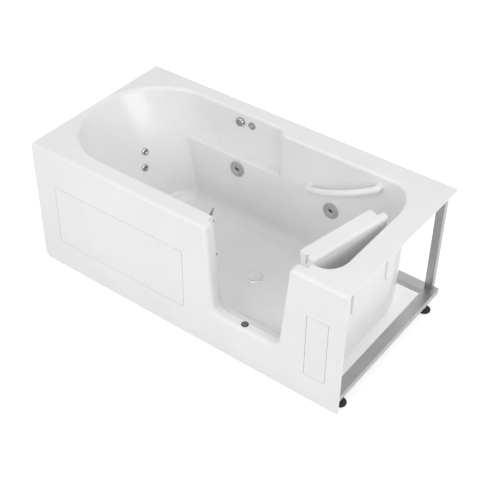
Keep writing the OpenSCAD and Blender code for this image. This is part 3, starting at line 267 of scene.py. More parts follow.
def rod(point, normal, radius, low, high):
    return turned("rod", [(0, low), (radius, low), (radius, high), (0, high)], standing(point, normal), 48)


def block(low, high):
    rings = [
        [(x, y, z) for x, y in ((low[0], low[1]), (high[0], low[1]), (high[0], high[1]), (low[0], high[1]))]
        for z in (low[2], high[2])
    ]
    return loft("block", rings)


# Geometry node trees


def new_tree(name, inputs):
    """An empty geometry tree with named inputs, and its two ends."""
    tree = bpy.data.node_groups.new(name, "GeometryNodeTree")
    tree.interface.new_socket("Geometry", in_out="INPUT", socket_type="NodeSocketGeometry")
    for label, kind in inputs:
        tree.interface.new_socket(label, in_out="INPUT", socket_type="NodeSocket" + kind)
    tree.interface.new_socket("Geometry", in_out="OUTPUT", socket_type="NodeSocketGeometry")
    return tree, tree.nodes.new("NodeGroupInput").outputs


def add(tree, kind, settings=None, **inputs):
    """Adds a node. An input takes a value or another node's output; in1 is the second input, by place."""
    node = tree.nodes.new(kind)
    for key, value in (settings or {}).items():
        setattr(node, key, value)
    for key, value in inputs.items():
        numbered = key.startswith("in") and key[2:].isdigit()
        socket = node.inputs[int(key[2:])] if numbered else node.inputs[key.replace("_", " ")]
        if isinstance(value, bpy.types.NodeSocket):
            tree.links.new(value, socket)
        else:
            socket.default_value = value
    return node


def grown(piece, tree, values):
    """Runs a tree on a piece with these values and keeps the plain mesh."""
    step = piece.modifiers.new("grow", "NODES")
    step.node_group = tree
    names = {item.name: item.identifier for item in tree.interface.items_tree if item.in_out == "INPUT"}
    for label, value in values.items():
        step[names[label]] = value
    return baked(piece)


def finished(tree, shape, finish):
    """Ends a tree with real copies and the material."""
    solid = add(tree, "GeometryNodeRealizeInstances", Geometry=shape)
    painted = add(tree, "GeometryNodeSetMaterial", Geometry=solid.outputs[0], Material=finish)
    add(tree, "NodeGroupOutput", Geometry=painted.outputs[0])
    return tree


def copies_tree():
    """Puts a copy of an item at each point, its own +Z along the point's aim."""
    inputs = [("Item", "Object"), ("Size", "Float"), ("Finish", "Material")]
    tree, given = new_tree("copies at points", inputs)
    item = add(tree, "GeometryNodeObjectInfo", Object=given["Item"])
    aim = add(tree, "GeometryNodeInputNamedAttribute", {"data_type": "FLOAT_VECTOR"}, Name="aim")
    turn = add(tree, "FunctionNodeAlignRotationToVector", {"axis": "Z"}, Vector=aim.outputs[0])
    put = add(
        tree,
        "GeometryNodeInstanceOnPoints",
        Points=given["Geometry"],
        Instance=item.outputs["Geometry"],
        Rotation=turn.outputs[0],
        Scale=given["Size"],
    )
    return finished(tree, put.outputs[0], given["Finish"])


def tube_tree():
    """Sweeps a round section along a path, with bends and, for a hose, ribs a pitch apart."""
    floats = [(label, "Float") for label in ("Radius", "Bend", "Step", "Rib", "Pitch")]
    tree, given = new_tree("round tube along a path", floats + [("Sides", "Int"), ("Finish", "Material")])
    path = add(tree, "GeometryNodeMeshToCurve", Mesh=given["Geometry"])
    bent = add(
        tree,
        "GeometryNodeFilletCurve",
        {"mode": "POLY"},
        Curve=path.outputs[0],
        Count=10,
        Radius=given["Bend"],
        Limit_Radius=True,
    )
    step = given["Step"]
    even = add(tree, "GeometryNodeResampleCurve", {"mode": "LENGTH"}, Curve=bent.outputs[0], Length=step)
    along = add(tree, "GeometryNodeSplineParameter").outputs["Length"]
    turns = add(tree, "ShaderNodeMath", {"operation": "DIVIDE"}, in0=along, in1=given["Pitch"]).outputs[0]
    angle = add(tree, "ShaderNodeMath", {"operation": "MULTIPLY"}, in0=turns, in1=2 * math.pi)
    wave = add(tree, "ShaderNodeMath", {"operation": "SINE"}, in0=angle.outputs[0]).outputs[0]
    scale = add(tree, "ShaderNodeMath", {"operation": "MULTIPLY_ADD"}, in0=wave, in1=given["Rib"], in2=1.0)
    section = add(tree, "GeometryNodeCurvePrimitiveCircle", Resolution=given["Sides"], Radius=given["Radius"])
    swept = add(
        tree,
        "GeometryNodeCurveToMesh",
        Curve=even.outputs[0],
        Profile_Curve=section.outputs[0],
        Scale=scale.outputs[0],
        Fill_Caps=True,
    )
    soft = add(tree, "GeometryNodeSetShadeSmooth", Geometry=swept.outputs[0])
    return finished(tree, soft.outputs[0], given["Finish"])


COPIES = copies_tree()
TUBE = tube_tree()


def copies(name, item, places, finish):
    """Copies of an item at (point, aim) places; the item is removed."""
    mesh = bpy.data.meshes.new(name)
    mesh.from_pydata([at(*point) for point, aim in places], [], [])
    layer = mesh.attributes.new("aim", "FLOAT_VECTOR", "POINT")
    for index, (point, aim) in enumerate(places):
        layer.data[index].vector = aim
    piece = grown(new_object(name, mesh), COPIES, {"Item": item, "Size": 1.0, "Finish": finish})
    bpy.data.objects.remove(item)
    return piece


def tube(name, paths, radius, finish, sides, step, bend=0, rib=0, pitch=6):
    """A round tube along paths, lists of points in millimetres."""
    mesh = bpy.data.meshes.new(name)
    points, edges = [], []
    for path in paths:
        edges += [(len(points) + i, len(points) + i + 1) for i in range(len(path) - 1)]
        points += [at(*p) for p in path]
    mesh.from_pydata(points, edges, [])
    sizes = {"Radius": radius, "Bend": bend, "Step": step, "Pitch": pitch}
    inputs = {label: size / 1000 for label, size in sizes.items()}
    inputs.update({"Rib": rib / radius, "Sides": sides, "Finish": finish})
    return grown(new_object(name, mesh), TUBE, inputs)


# Finishes


def hex_colour(code):
    """sRGB hex to the linear values that Blender works in."""
    parts = [int(code[i : i + 2], 16) / 255 for i in (1, 3, 5)]
    return [p / 12.92 if p <= 0.04045 else ((p + 0.055) / 1.055) ** 2.4 for p in parts] + [1.0]


def per_mm(size):
    """Scale of a noise on Object coordinates, in metres, for a pattern of this size in millimetres."""
    return 1000 / size


def emptied(owner):
    """The node tree of a material or a world, cleared."""
    owner.use_nodes = True
    owner.node_tree.nodes.clear()
    return owner.node_tree


def surface(name, gloss, grain, tones, stretch=(1, 1, 1), **shader):
    """A finish whose gloss and colour drift over patches, with a fine grain in its bump.

    gloss is roughness, its spread and the patch size; grain is the grain's size and depth; tones are the
    darker and the paler colour and the patch size. All sizes are in millimetres.
    """
    finish = bpy.data.materials.new(name)
    tree = emptied(finish)
    place = add(tree, "ShaderNodeTexCoord").outputs["Object"]
    run = add(tree, "ShaderNodeMapping", Vector=place, Scale=stretch).outputs[0]
    roughness, spread, patch = gloss
    patches = add(tree, "ShaderNodeTexNoise", Vector=place, Scale=per_mm(patch), Detail=3.0, Roughness=0.55)
    dulling = add(
        tree,
        "ShaderNodeMapRange",
        Value=patches.outputs["Fac"],
        From_Min=0.3,
        From_Max=0.7,
        To_Min=roughness - spread,
        To_Max=roughness + spread,
    )
    size, depth = grain
    fine = add(tree, "ShaderNodeTexNoise", Vector=run, Scale=per_mm(size), Detail=2.0, Roughness=0.5)
    bump = add(tree, "ShaderNodeBump", Strength=1.0, Distance=depth / 1000, Height=fine.outputs["Fac"])
    *colours, patch = tones
    drift = add(tree, "ShaderNodeTexNoise", Vector=place, Scale=per_mm(patch), Detail=4.0, Roughness=0.6)
    ramp = add(tree, "ShaderNodeValToRGB", Fac=drift.outputs["Fac"])
    for stop, position, colour in zip(ramp.color_ramp.elements, (0.35, 0.65), colours):
        stop.position = position
        stop.color = hex_colour(colour)
    coat = add(
        tree,
        "ShaderNodeBsdfPrincipled",
        Base_Color=ramp.outputs[0],
        Roughness=dulling.outputs[0],
        Normal=bump.outputs[0],
        **shader,
    )
    add(tree, "ShaderNodeOutputMaterial", Surface=coat.outputs[0])
    return finish


# Vacuum-formed sanitary acrylic: a hard white gloss that is very slightly wavy, so reflections drift
ACRYLIC = surface(
    "vacuum_formed_acrylic", (0.2, 0.035, 160), (90, 0.03), ("#EAEAEB", "#EEEEEE", 240), IOR=1.49
)
# Flat acrylic sheet sawn for the access panels: the same white, a little flatter and cooler
PANEL_SHEET = surface(
    "acrylic_panel_sheet", (0.24, 0.03, 120), (140, 0.02), ("#E9EAEB", "#EDEDEE", 200), IOR=1.49
)
# Brushed stainless box tube: fine lines along the tube, which spread the highlights across it
BRUSHED = surface(
    "brushed_stainless_tube",
    (0.36, 0.06, 60),
    (4, 0.012),
    ("#ADADAE", "#B5B5B6", 45),
    stretch=(0.05, 1, 1),
    Metallic=1.0,
)
# Zinc plated steel: dull silver with a faint yellow and blue cast in patches
ZINC = surface("zinc_plated_steel", (0.38, 0.08, 12), (1.5, 0.01), ("#A9ABAE", "#C3C5C4", 14), Metallic=1.0)
# Polished chrome plate: mirror bright, with faint water spots that dull it
CHROME = surface(
    "polished_chrome_plate", (0.12, 0.04, 9), (20, 0.004), ("#A2A4A7", "#AFB1B4", 30), Metallic=1.0
)
# The floor drain's flange, a brighter chrome that hardly stands out from the white floor
PALE_CHROME = surface(
    "satin_chrome_plate", (0.3, 0.05, 9), (20, 0.004), ("#DADCDE", "#E4E5E7", 30), Metallic=1.0
)
# Moulded black rubber of the feet: dull, fine pitted skin, dust greys it in patches
FOOT_RUBBER = surface(
    "moulded_foot_rubber", (0.72, 0.1, 8), (0.9, 0.06), ("#161617", "#2A2A2B", 10), IOR=1.52
)
# Soft silicone door seal: pale grey and slightly waxy
SEAL_RUBBER = surface("silicone_seal", (0.5, 0.08, 14), (1.2, 0.02), ("#C4C5C6", "#D0D1D2", 30), IOR=1.43)
# Moulded black ABS of the drains and nozzles: half gloss with a fine spark-eroded texture
BLACK_ABS = surface("moulded_black_abs", (0.4, 0.07, 10), (0.7, 0.012), ("#1A1A1C", "#262628", 18), IOR=1.53)
# Satin grey ABS trims of the jets
JET_ABS = surface("satin_grey_abs", (0.3, 0.06, 10), (0.8, 0.01), ("#A6A8AB", "#B2B4B7", 16), IOR=1.53)
# The same plastic, paler, of the turning nozzles
EYE_ABS = surface("satin_pale_abs", (0.32, 0.06, 10), (0.8, 0.01), ("#B9BBBE", "#C5C7C9", 16), IOR=1.53)
# Darker satin ABS of the sill drain's strainer
STRAINER_ABS = surface("satin_dark_abs", (0.34, 0.06, 10), (0.8, 0.01), ("#626467", "#707275", 12), IOR=1.53)
# Nylon sleeve of the grab bar: white, satin, moulded with a fine grip grain
BAR_NYLON = surface("white_nylon_sleeve", (0.34, 0.06, 24), (0.8, 0.02), ("#E6E6E7", "#ECECEC", 60), IOR=1.53)
# Extruded white PVC pipe: pale, slightly chalky, with scuffs
PIPE_PVC = surface("extruded_pvc_pipe", (0.42, 0.09, 25), (3, 0.01), ("#DADAD5", "#E6E6E2", 50), IOR=1.53)
# Grey vinyl hose: soft, half gloss, dulled where it is handled
HOSE_VINYL = surface("grey_vinyl_hose", (0.34, 0.08, 10), (1.0, 0.01), ("#B4B6B7", "#C3C5C6", 20), IOR=1.54)
# Powder coated pump motor: dark grey with a fine orange peel
MOTOR_COAT = surface(
    "powder_coated_motor", (0.46, 0.07, 12), (1.4, 0.03), ("#3A3C3F", "#46484B", 40), IOR=1.5
)
# Glass-filled black nylon of the volute and terminal box: dull and faintly streaked
PUMP_NYLON = surface("glass_filled_nylon", (0.52, 0.08, 9), (0.8, 0.02), ("#222224", "#303032", 16), IOR=1.53)


# The moulded shell


def depth_share(z):
    return min(1, max(0, (HEIGHT - z) / (HEIGHT - FLOOR)))


def bow_x(z):
    t = depth_share(z)
    return HEAD_DECK + BOW_L + BACK_REACH * t * (1 + BACK_BEND * (1 - t))


def back_wall(z):
    return BACK - BACK_DRAFT * depth_share(z) ** BACK_CURVE


def foot_wall(z):
    return FOOT - FOOT_DRAFT * depth_share(z)


def bow_point(z, angle, grow):
    """A point on the curved head end; angle 0 is its middle."""
    return (bow_x(z) - (BOW_L + grow) * math.cos(angle), BOW_Y + (BOW_W + grow) * math.sin(angle), z)


def fillet(before, corner, after, radius, steps):
    """Points of the arc that rounds a corner of an outline."""
    b = Vector(corner)
    u, v = (Vector(before) - b).normalized(), (Vector(after) - b).normalized()
    half = u.angle(v) / 2
    start, end = b + u * radius / math.tan(half), b + v * radius / math.tan(half)
    centre = b + (u + v).normalized() * radius / math.sin(half)
    arms = (start - centre, end - centre)
    sweep = arms[0].angle_signed(arms[1])
    points = []
    for i in range(steps + 1):
        turn = -sweep * i / steps
        c, s = math.cos(turn), math.sin(turn)
        points.append((centre.x + c * arms[0].x - s * arms[0].y, centre.y + s * arms[0].x + c * arms[0].y))
    return points


def basin_outline(z, grow, foot_grow, upper, fine):
    """The basin's outline at height z in three parts: head end, arm recess, foot end."""
    bow_n, corner_n = (72, 18) if fine else (40, 10)
    clip = math.degrees(math.asin((back_wall(z) + grow - BOW_Y) / (BOW_W + grow)))
    head = [bow_point(z, a, grow) for a in arc(-90, clip, bow_n)]
    back, foot = back_wall(z) + grow, foot_wall(z) + foot_grow
    rear = REAR + grow
    start = (bow_x(z), rear)
    first, second = (RECESS_END + grow, rear), (RECESS_END + RECESS_STEP + grow, back)
    rounding = fillet(start, first, second, RECESS_ROUNDS[0] + grow, 6)
    rounding += fillet(first, second, (foot, back), RECESS_ROUNDS[1] - grow, 6)
    recess = [bow_point(z, a, grow) for a in arc(clip, 90, 14)[1:]] + [(x, y, z) for x, y in rounding]
    ends = [recess.pop()]
    long, wide = (reach + grow for reach in BACK_CORNER)
    for a in arc(90, 0, corner_n):
        ends.append((foot - long * (1 - math.cos(a)), back - wide * (1 - math.sin(a)), z))
    long, wide = (reach + grow for reach in FRONT_CORNER)
    for a in arc(0, -90, corner_n):
        ends.append((foot - long * (1 - math.cos(a)), FRONT - grow + wide * (1 + math.sin(a)), z))
    return head, recess if upper else [], ends


def basin(name, low, high):
    """One closed solid from two stacks of outlines that meet at the arm ledge."""
    points, rows = [], []

    def row(parts):
        numbers = []
        for part in parts:
            numbers.append(list(range(len(points), len(points) + len(part))))
            points.extend(part)
        rows.append(numbers)

    for parts in low:
        row(parts)
    level = rows[-1]
    extra = list(range(len(points), len(points) + len(high[0][1])))
    points.extend(high[0][1])
    first = [level[0], extra, level[2]]
    top_rows = [first]
    for parts in high[1:]:
        row(parts)
        top_rows.append(rows.pop())
    faces = []
    for stack in (rows, top_rows):
        flat = [[n for part in numbers for n in part] for numbers in stack]
        for a, b in zip(flat, flat[1:]):
            m = len(a)
            faces += [[a[i], a[(i + 1) % m], b[(i + 1) % m], b[i]] for i in range(m)]
        if stack is rows:
            faces.append(flat[0][::-1])
        else:
            faces.append(flat[-1])
    faces.append([level[0][-1]] + extra + [level[2][0]])
    return closed(name, points, faces)


def basin_inside():
    low = []
    for a in arc(0, 90, 10):
        g = FLOOR_ROUND * (math.sin(a) - 1)
        low.append(basin_outline(FLOOR + FLOOR_ROUND * (1 - math.cos(a)), g, g, False, True))
    top = FLOOR + FLOOR_ROUND
    low += [basin_outline(top + (LEDGE - top) * i / 12, 0, 0, False, True) for i in range(1, 13)]
    brim = HEIGHT - RIM
    high = [basin_outline(LEDGE + (brim - LEDGE) * i / 12, 0, 0, True, True) for i in range(12)]
    for a in arc(0, 90, 8):
        g = RIM * (1 - math.cos(a))
        high.append(basin_outline(HEIGHT - RIM * (1 - math.sin(a)), g, g, True, True))
    high.append([[(x, y, HEIGHT + OVER) for x, y, z in part] for part in high[-1]])
    return basin("basin inside", low, high)


def basin_outside():
    def thick(z, grow, upper):
        return basin_outline(z, WALL + grow, FOOT_WALL + FOOT_DRAFT * depth_share(z) + grow, upper, False)

    low = [
        thick(UNDERSIDE + UNDER_ROUND * (1 - math.cos(a)), -UNDER_ROUND * (1 - math.sin(a)), False)
        for a in arc(0, 90, 8)
    ]
    start, end = UNDERSIDE + UNDER_ROUND, LEDGE - WALL
    low += [thick(start + (end - start) * i / 6, 0, False) for i in range(1, 7)]
    high = [thick(end + (HEIGHT - SHEET / 2 - end) * i / 6, 0, True) for i in range(7)]
    return basin("basin outside", low, high)


def deck_and_apron():
    r, inside, arch = DECK_ROUND, DECK_ROUND - SHEET, HEIGHT - DECK_ROUND
    outline = [(0, APRON_GAP)] + curve(r, arch, r, 180, 90, 14) + [(WIDTH, HEIGHT), (WIDTH, HEIGHT - SHEET)]
    outline += curve(r, arch, inside, 90, 180, 14) + [(SHEET, APRON_GAP)]
    sheet = loft("deck and apron", [[(x, y, z) for y, z in outline] for x in (0, LENGTH)])
    low = APRON_GAP - OVER
    cut = [(-OVER, low), (CORNER_CUT[0], low), (-OVER, CORNER_CUT[1])]
    carve(sheet, [loft("corner", [[(x, y, z) for x, z in cut] for y in (-OVER, SHEET + OVER)])])
    return baked(round_edges(sheet, SHEET_EDGE, 50))


def side_x(x, z, side):
    """A side of the opening at height z."""
    return x - side * (HEIGHT - z) * SLOPE


def notch_outline(left, right, low, corners, side, flare):
    """Outline in X and Z of a notch open at the deck, its upper edges rounded over by flare."""
    brim = HEIGHT - flare
    bl, br = (side_x(left, low, LATCH_SIDE), low), (side_x(right, low, side), low)
    tl, tr = (side_x(left, brim, LATCH_SIDE), brim), (side_x(right, brim, side), brim)
    points = [(tl[0] - flare, HEIGHT + OVER)]
    points += curve(tl[0] - flare, brim, flare, 90, 0, 6)
    points += fillet(tl, bl, br, corners[0], 10) + fillet(bl, br, tr, corners[1], 10)
    points += curve(tr[0] + flare, brim, flare, 180, 90, 6)
    points.append((tr[0] + flare, HEIGHT + OVER))
    return points


def notch(steps, left, right, low, corners, side, flare):
    """Solid of a notch that widens by grow at each (y, grow) step, front to back."""
    rings = []
    for y, grow in steps:
        slant = grow / math.cos(SLOPE_ANGLE)
        far = right + (slant if side else grow)
        outline = notch_outline(left - slant, far, low - grow, [r + grow for r in corners], side, flare)
        rings.append([(x, y, z) for x, z in outline])
    return loft("notch", rings)


def outer_notch():
    """The opening through the apron, its brim rolled outwards and its edge at the step softened."""
    r, edge = OPEN_ROLL, STEP_EDGE
    steps = [(-OVER, r)] + [(r * (1 - math.sin(a)), r * (1 - math.cos(a))) for a in arc(90, 0, 10)]
    steps += [(STEP_Y - edge + edge * math.sin(a), edge * (1 - math.cos(a))) for a in arc(0, 90, 4)]
    steps.append((STEP_Y + 2 * OVER, edge))
    return notch(steps, OPEN_LEFT, OPEN_RIGHT, SILL, (OPEN_ROUND, OPEN_ROUND), HINGE_SIDE, OPEN_FLARE)


def inner_notch():
    """The wider step behind it, open to the basin."""
    r = INNER_EDGE
    steps = [(STEP_Y, 0), (STEP_Y + 20, 0)]
    steps += [(FRONT - r + r * math.sin(a), r * (1 - math.cos(a))) for a in arc(0, 90, 6)]
    steps.append((FRONT + 4 * OVER, r))
    return notch(steps, STEP_LEFT, STEP_RIGHT, STEP_SILL, (OPEN_ROUND, HINGE_ROUND), UPRIGHT, INNER_EDGE)


def jamb_moulding():
    """The thick frame of the opening, between apron and basin."""
    left, right, low, top = STEP_LEFT - WALL, STEP_RIGHT + WALL, STEP_SILL - WALL, HEIGHT - SHEET / 2
    tl, bl = (side_x(left, top, LATCH_SIDE), top), (side_x(left, low, LATCH_SIDE), low)
    br, tr = (right, low), (right, top)
    outline = [tl] + fillet(tl, bl, br, OPEN_ROUND + WALL, 10)
    outline += fillet(bl, br, tr, HINGE_ROUND + WALL, 6) + [tr]
    return loft("jamb moulding", [[(x, y, z) for x, z in outline] for y in (SHEET / 2, FRONT)])


def moulded_pad(y):
    """A shallow raised pad on the foot end wall, with soft edges."""
    rings = []
    for depth, inset in ((15, 0), (6, 0), (3.5, 0.4), (1.5, 1.6), (0.4, 3.4), (0, 6)):
        x, r = PAD_FACE - depth, PAD_ROUND - inset
        w, h = (half - inset - r for half in PAD_HALF)
        outline = []
        for cy, cz, start in ((w, h, 0), (-w, h, 90), (-w, -h, 180), (w, -h, 270)):
            outline += [(x, *point) for point in curve(y + cy, PAD_Z + cz, r, start, start + 90, 6)]
        rings.append(outline)
    return loft("pad", rings)


def panel_pocket(x, z, length, height):
    """Pocket for an access panel with a softly rounded edge, open behind the land."""
    rings = []
    for y, grow in ((-OVER, 1.2), (0, 1.2), (0.35, 0.4), (1.2, 0), (4, 0)):
        low, high = (x - grow, z - grow), (x + length + grow, z + height + grow)
        rings.append([(low[0], y, low[1]), (high[0], y, low[1]), (high[0], y, high[1]), (low[0], y, high[1])])
    land = PANEL_LAND
    window = block((x + land, PANEL_SHEET_T, z + land), (x + length - land, SHEET + OVER, z + height - land))
    return loft("pocket", rings), window


def wall_normal(z):
    """The way out of the back wall at height z, towards the bather."""
    lean = math.atan((back_wall(z + 1) - back_wall(z - 1)) / 2)
    return 0, -math.cos(lean), math.sin(lean)


JET_NORMAL = wall_normal(JET_Z)
JET_POINTS = [(x, back_wall(JET_Z), JET_Z) for x in JET_X]


def back_jet_places():
    """Where the four back jets stand, and the way out of the curved backrest."""
    places = []
    for side in (1, -1):
        for degrees, z in BACK_JETS:
            a = math.radians(side * degrees)
            along = Vector(bow_point(z, a + 0.02, 0)) - Vector(bow_point(z, a - 0.02, 0))
            up = Vector(bow_point(z + 1, a, 0)) - Vector(bow_point(z - 1, a, 0))
            normal = up.cross(along).normalized()
            if normal.x < 0:
                normal = -normal
            places.append((Vector(bow_point(z, a, 0)) + normal, normal))
    return places


def moulded_shell():
    shell = deck_and_apron()
    carve(shell, [basin_outside(), jamb_moulding()] + [moulded_pad(y) for y in PAD_Y], "UNION")
    cutters = [basin_inside(), outer_notch(), inner_notch()]
    cutters += panel_pocket(*LARGE_PANEL) + panel_pocket(*SMALL_PANEL)
    # Holes of the fittings: where, which way, radius, and from where to where
    holes = [(point, JET_NORMAL, JET_HOLE, -30, 30) for point in JET_POINTS]
    holes += [(point, aim, BACK_JET_HOLE, -30, 30) for point, aim in back_jet_places()]
    holes += [(point, INTO_WALL, CONTROL_HOLE, -14, 14) for point in (AIR_CONTROL, BUTTON_SEAT)]
    holes.append((SUCTION, INTO_WALL, SUCTION_HOLE, -14, 4))
    holes += [(DRAIN, UP, DRAIN_HOLE, -28, 4), (SILL_DRAIN, UP, SILL_HOLE, -36, 4)]
    cutters += [rod(*hole) for hole in holes]
    carve(shell, cutters)
    tidy(shell.data)
    shell.name = "moulded_shell"
    return smooth(shell, 32)


shown(moulded_shell(), ACRYLIC, "tub_shell")


# The door


def swing():
    """Turns the door from closed to where it stands open, about its pin."""
    pin = at(HINGE_X, HINGE_Y, 0)
    return Matrix.Translation(pin) @ Matrix.Rotation(-OPEN_ANGLE, 4, "Z") @ Matrix.Translation(-pin)


def leaf_ring(y, left, right, low, corners, side, top):
    """A ring of the door at depth y: two lower corners and two small upper ones."""
    tl, bl = (side_x(left, top, LATCH_SIDE), top), (side_x(left, low, LATCH_SIDE), low)
    br, tr = (side_x(right, low, side), low), (side_x(right, top, side), top)
    outline = fillet(tr, tl, bl, LEAF_TIP, 4) + fillet(tl, bl, br, corners[0], 10)
    outline += fillet(bl, br, tr, corners[1], 10) + fillet(br, tr, tl, LEAF_TIP, 4)
    return [(x, y, z) for x, z in outline]


def corner_cutter():
    """Lowers the flange beyond the plate's end, with softened corners."""
    x, z = PLATE_RIGHT + CORNER_PAST, DOOR_TOP - CORNER_DROP
    first, inner, last = CORNER_ROUNDS
    outline = curve(x - first, DOOR_TOP - first, first, 90, 0, 5)
    outline += curve(x + inner, z + inner, inner, 180, 270, 6)
    outline += curve(FLANGE_RIGHT - last, z - last, last, 90, 0, 5)
    right, top = STEP_RIGHT + 8, DOOR_TOP + 10
    outline += [(right, z - last), (right, top), (x - first, top)]
    return loft("corner cutter", [[(x, y, z) for x, z in outline] for y in (PLATE_BACK + OVER, FRONT + 8)])


def door_leaf():
    """The leaf as rings from its face to the water side: plate, groove for the seal, flange."""
    rings = []

    def plate(y, inset, drop=0):
        r = PLATE_ROUND - inset
        sides = PLATE_LEFT + inset, PLATE_RIGHT - inset, PLATE_LOW + inset
        rings.append(leaf_ring(y, *sides, (r, r), HINGE_SIDE, DOOR_TOP - drop))

    def flange(y, inset, drop=0, hinge=0):
        corners = FLANGE_ROUND - inset, HINGE_EDGE - inset / 2
        sides = FLANGE_LEFT + inset, FLANGE_RIGHT - hinge, FLANGE_LOW + inset
        rings.append(leaf_ring(y, *sides, corners, UPRIGHT, DOOR_TOP - drop))

    def rounded(depth, radius):
        """How far an edge of this radius has drawn in at this depth past its start."""
        return radius - math.sqrt(max(0, radius**2 - max(0, depth) ** 2))

    bevel = DOOR_FACE
    for a in arc(0, 90, 6):
        plate(DOOR_FACE + bevel * (1 - math.cos(a)), bevel * (1 - math.sin(a)), 5 * (1 - math.sin(a)))
    for a in arc(0, 90, 4):
        plate(PLATE_BACK - 3 + 3 * math.sin(a), 3 * (1 - math.cos(a)))
    for y, inset in GROOVE:
        plate(y, inset)
    plate(FLANGE_FACE, -2)
    flange(FLANGE_FACE, 2)
    for a in arc(30, 90, 3):
        flange(FLANGE_FACE + 2 * (1 - math.cos(a)), 2 * (1 - math.sin(a)))
    for a in arc(0, 90, 10):
        y = FLANGE_BACK - TOP_ROUND * (1 - math.sin(a))
        hinge = rounded(y - FLANGE_BACK + HINGE_EDGE, HINGE_EDGE)
        flange(y, rounded(y - FLANGE_BACK + 6, 6), TOP_ROUND * (1 - math.cos(a)), hinge)
    leaf = loft("door_leaf", rings)
    cutters = []
    for z in HINGE_Z:
        low, high = z - KNUCKLE_GAP, z + KNUCKLE + KNUCKLE_GAP
        cutters.append(block((HINGE_X - 24, -OVER, low), (HINGE_X + 26, FRONT + 2, high)))
    carve(leaf, cutters + [corner_cutter()])
    leaf.data.transform(swing())
    return smooth(leaf, 40)


shown(door_leaf(), ACRYLIC, "door_panel", "door")


# Parts kept from the CAD, with softened edges


def refined(node, name, width):
    """A merged copy of a CAD node, its flat faces whole, its edges rounded and its curves smooth."""
    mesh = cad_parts[node].data.copy()
    mesh.name = name
    work = bmesh.new()
    work.from_mesh(mesh)
    bmesh.ops.remove_doubles(work, verts=work.verts, dist=2e-6)
    bmesh.ops.dissolve_limit(work, angle_limit=math.radians(0.6), verts=work.verts, edges=work.edges)
    work.to_mesh(mesh)
    work.free()
    piece = new_object(name, mesh)
    if width:
        baked(round_edges(piece, width, 32))
    return smooth(piece, 32)


# Finish, slot, width of the rounded edges, and the piece that is made of each node
REFINED = [
    (PANEL_SHEET, "panel_acrylic", 1.2, {"large_access_panel": "large_panel"}),
    (PANEL_SHEET, "panel_acrylic", 1.2, {"small_access_panel": "small_panel"}),
    (ZINC, "zinc_steel", 0.6, {"panel_clips": "spring_clips"}),
    (BRUSHED, "frame_steel", 1.1, {"base_rail_front": "front_rail", "base_rail_back": "back_rail"}),
    (BRUSHED, "frame_steel", 1.1, {"base_rail_head": "head_rail", "base_rail_foot": "foot_rail"}),
    (BRUSHED, "frame_steel", 1.1, {"cross_rails": "cross_members", "post_front_head": "front_head_post"}),
    (BRUSHED, "frame_steel", 1.1, {"post_front_foot": "front_foot_post"}),
    (BRUSHED, "frame_steel", 1.1, {"post_back_head": "back_head_post"}),
    (BRUSHED, "frame_steel", 1.1, {"post_back_foot": "back_foot_post", "top_rail_back": "wall_side_rail"}),
    (ZINC, "zinc_steel", 0.8, {"hinge_pin": "hinge_pin_rod"}),
    (ZINC, "zinc_steel", 0.6, {"hinge_upper": "upper_hinge", "hinge_lower": "lower_hinge"}),
    (CHROME, "chrome", 0.4, {"latch_base_upper": "upper_latch_base"}),
    (CHROME, "chrome", 0.4, {"latch_base_lower": "lower_latch_base"}),
    (BLACK_ABS, "black_plastic", 1.0, {"drain_shoe": "waste_shoe"}),
    (PIPE_PVC, "pipe_plastic", 0.8, {"jet_body_head": "head_jet_body", "jet_body_foot": "foot_jet_body"}),
    (ZINC, "zinc_steel", 0.8, {"pump_shelf": "pump_shelf_plate"}),
    (PUMP_NYLON, "pump_plastic", 1.5, {"pump_volute": "pump_housing", "pump_terminal_box": "terminal_box"}),
    (PIPE_PVC, "pipe_plastic", 0.8, {"suction_body": "suction_cup"}),
    (BAR_NYLON, "bar_plastic", 0.8, {"suction_cover": "suction_grille"}),
    (PIPE_PVC, "pipe_plastic", 0, {"suction_pipe": "suction_line", "pressure_pipe": "pressure_line"}),
    (MOTOR_COAT, "pump_paint", 0.5, {"pump_motor": "motor_case"}),
]
for finish, slot, width, names in REFINED:
    for node, name in names.items():
        shown(refined(node, name, width), finish, node)

shown(refined("door_seal", "door_gasket", 0.8), SEAL_RUBBER, "door_seal", "door")
shown(refined("latch_lever_upper", "upper_lever", 0.9), CHROME, "latch_lever_upper", "latch_upper")
shown(refined("latch_lever_lower", "lower_lever", 0.9), CHROME, "latch_lever_lower", "latch_lower")


# Grab bar


def bar_points():
    """The bar's middle line: a short leg, a tight elbow, a bow, an elbow and a leg."""
    a, b = (Vector((x, back_wall(z), z)) for x, z in (BAR_LOW, BAR_HIGH))
    chord = b - a
    length = chord.length
    tilt, turn = math.asin(chord.z / length), math.atan2(chord.y, chord.x)
    elbow, stand = BAR_ELBOW, BAR_STAND
    half = 2 * math.atan(2 * stand * BAR_BOW / length)
    bow = (length / 2 - elbow * (1 - math.sin(half))) / math.sin(half)
    leg = stand - elbow * math.cos(half) - bow * (1 - math.cos(half))
    low, high = 270 - math.degrees(half), 270 + math.degrees(half)

    flat = [(0, -3), (0, -leg / 2)] + curve(elbow, -leg, elbow, 180, low, 12)
    flat += curve(length / 2, bow - stand, bow, low, high, 24)[1:-1]
    flat += curve(length - elbow, -leg, elbow, high, 360, 12) + [(length, -leg / 2), (length, -3)]
    move = Matrix.Rotation(turn, 3, "Z") @ Matrix.Rotation(-tilt, 3, "Y")
    return [tuple(a + move @ Vector((x, y, 0))) for x, y in flat], (a, b)


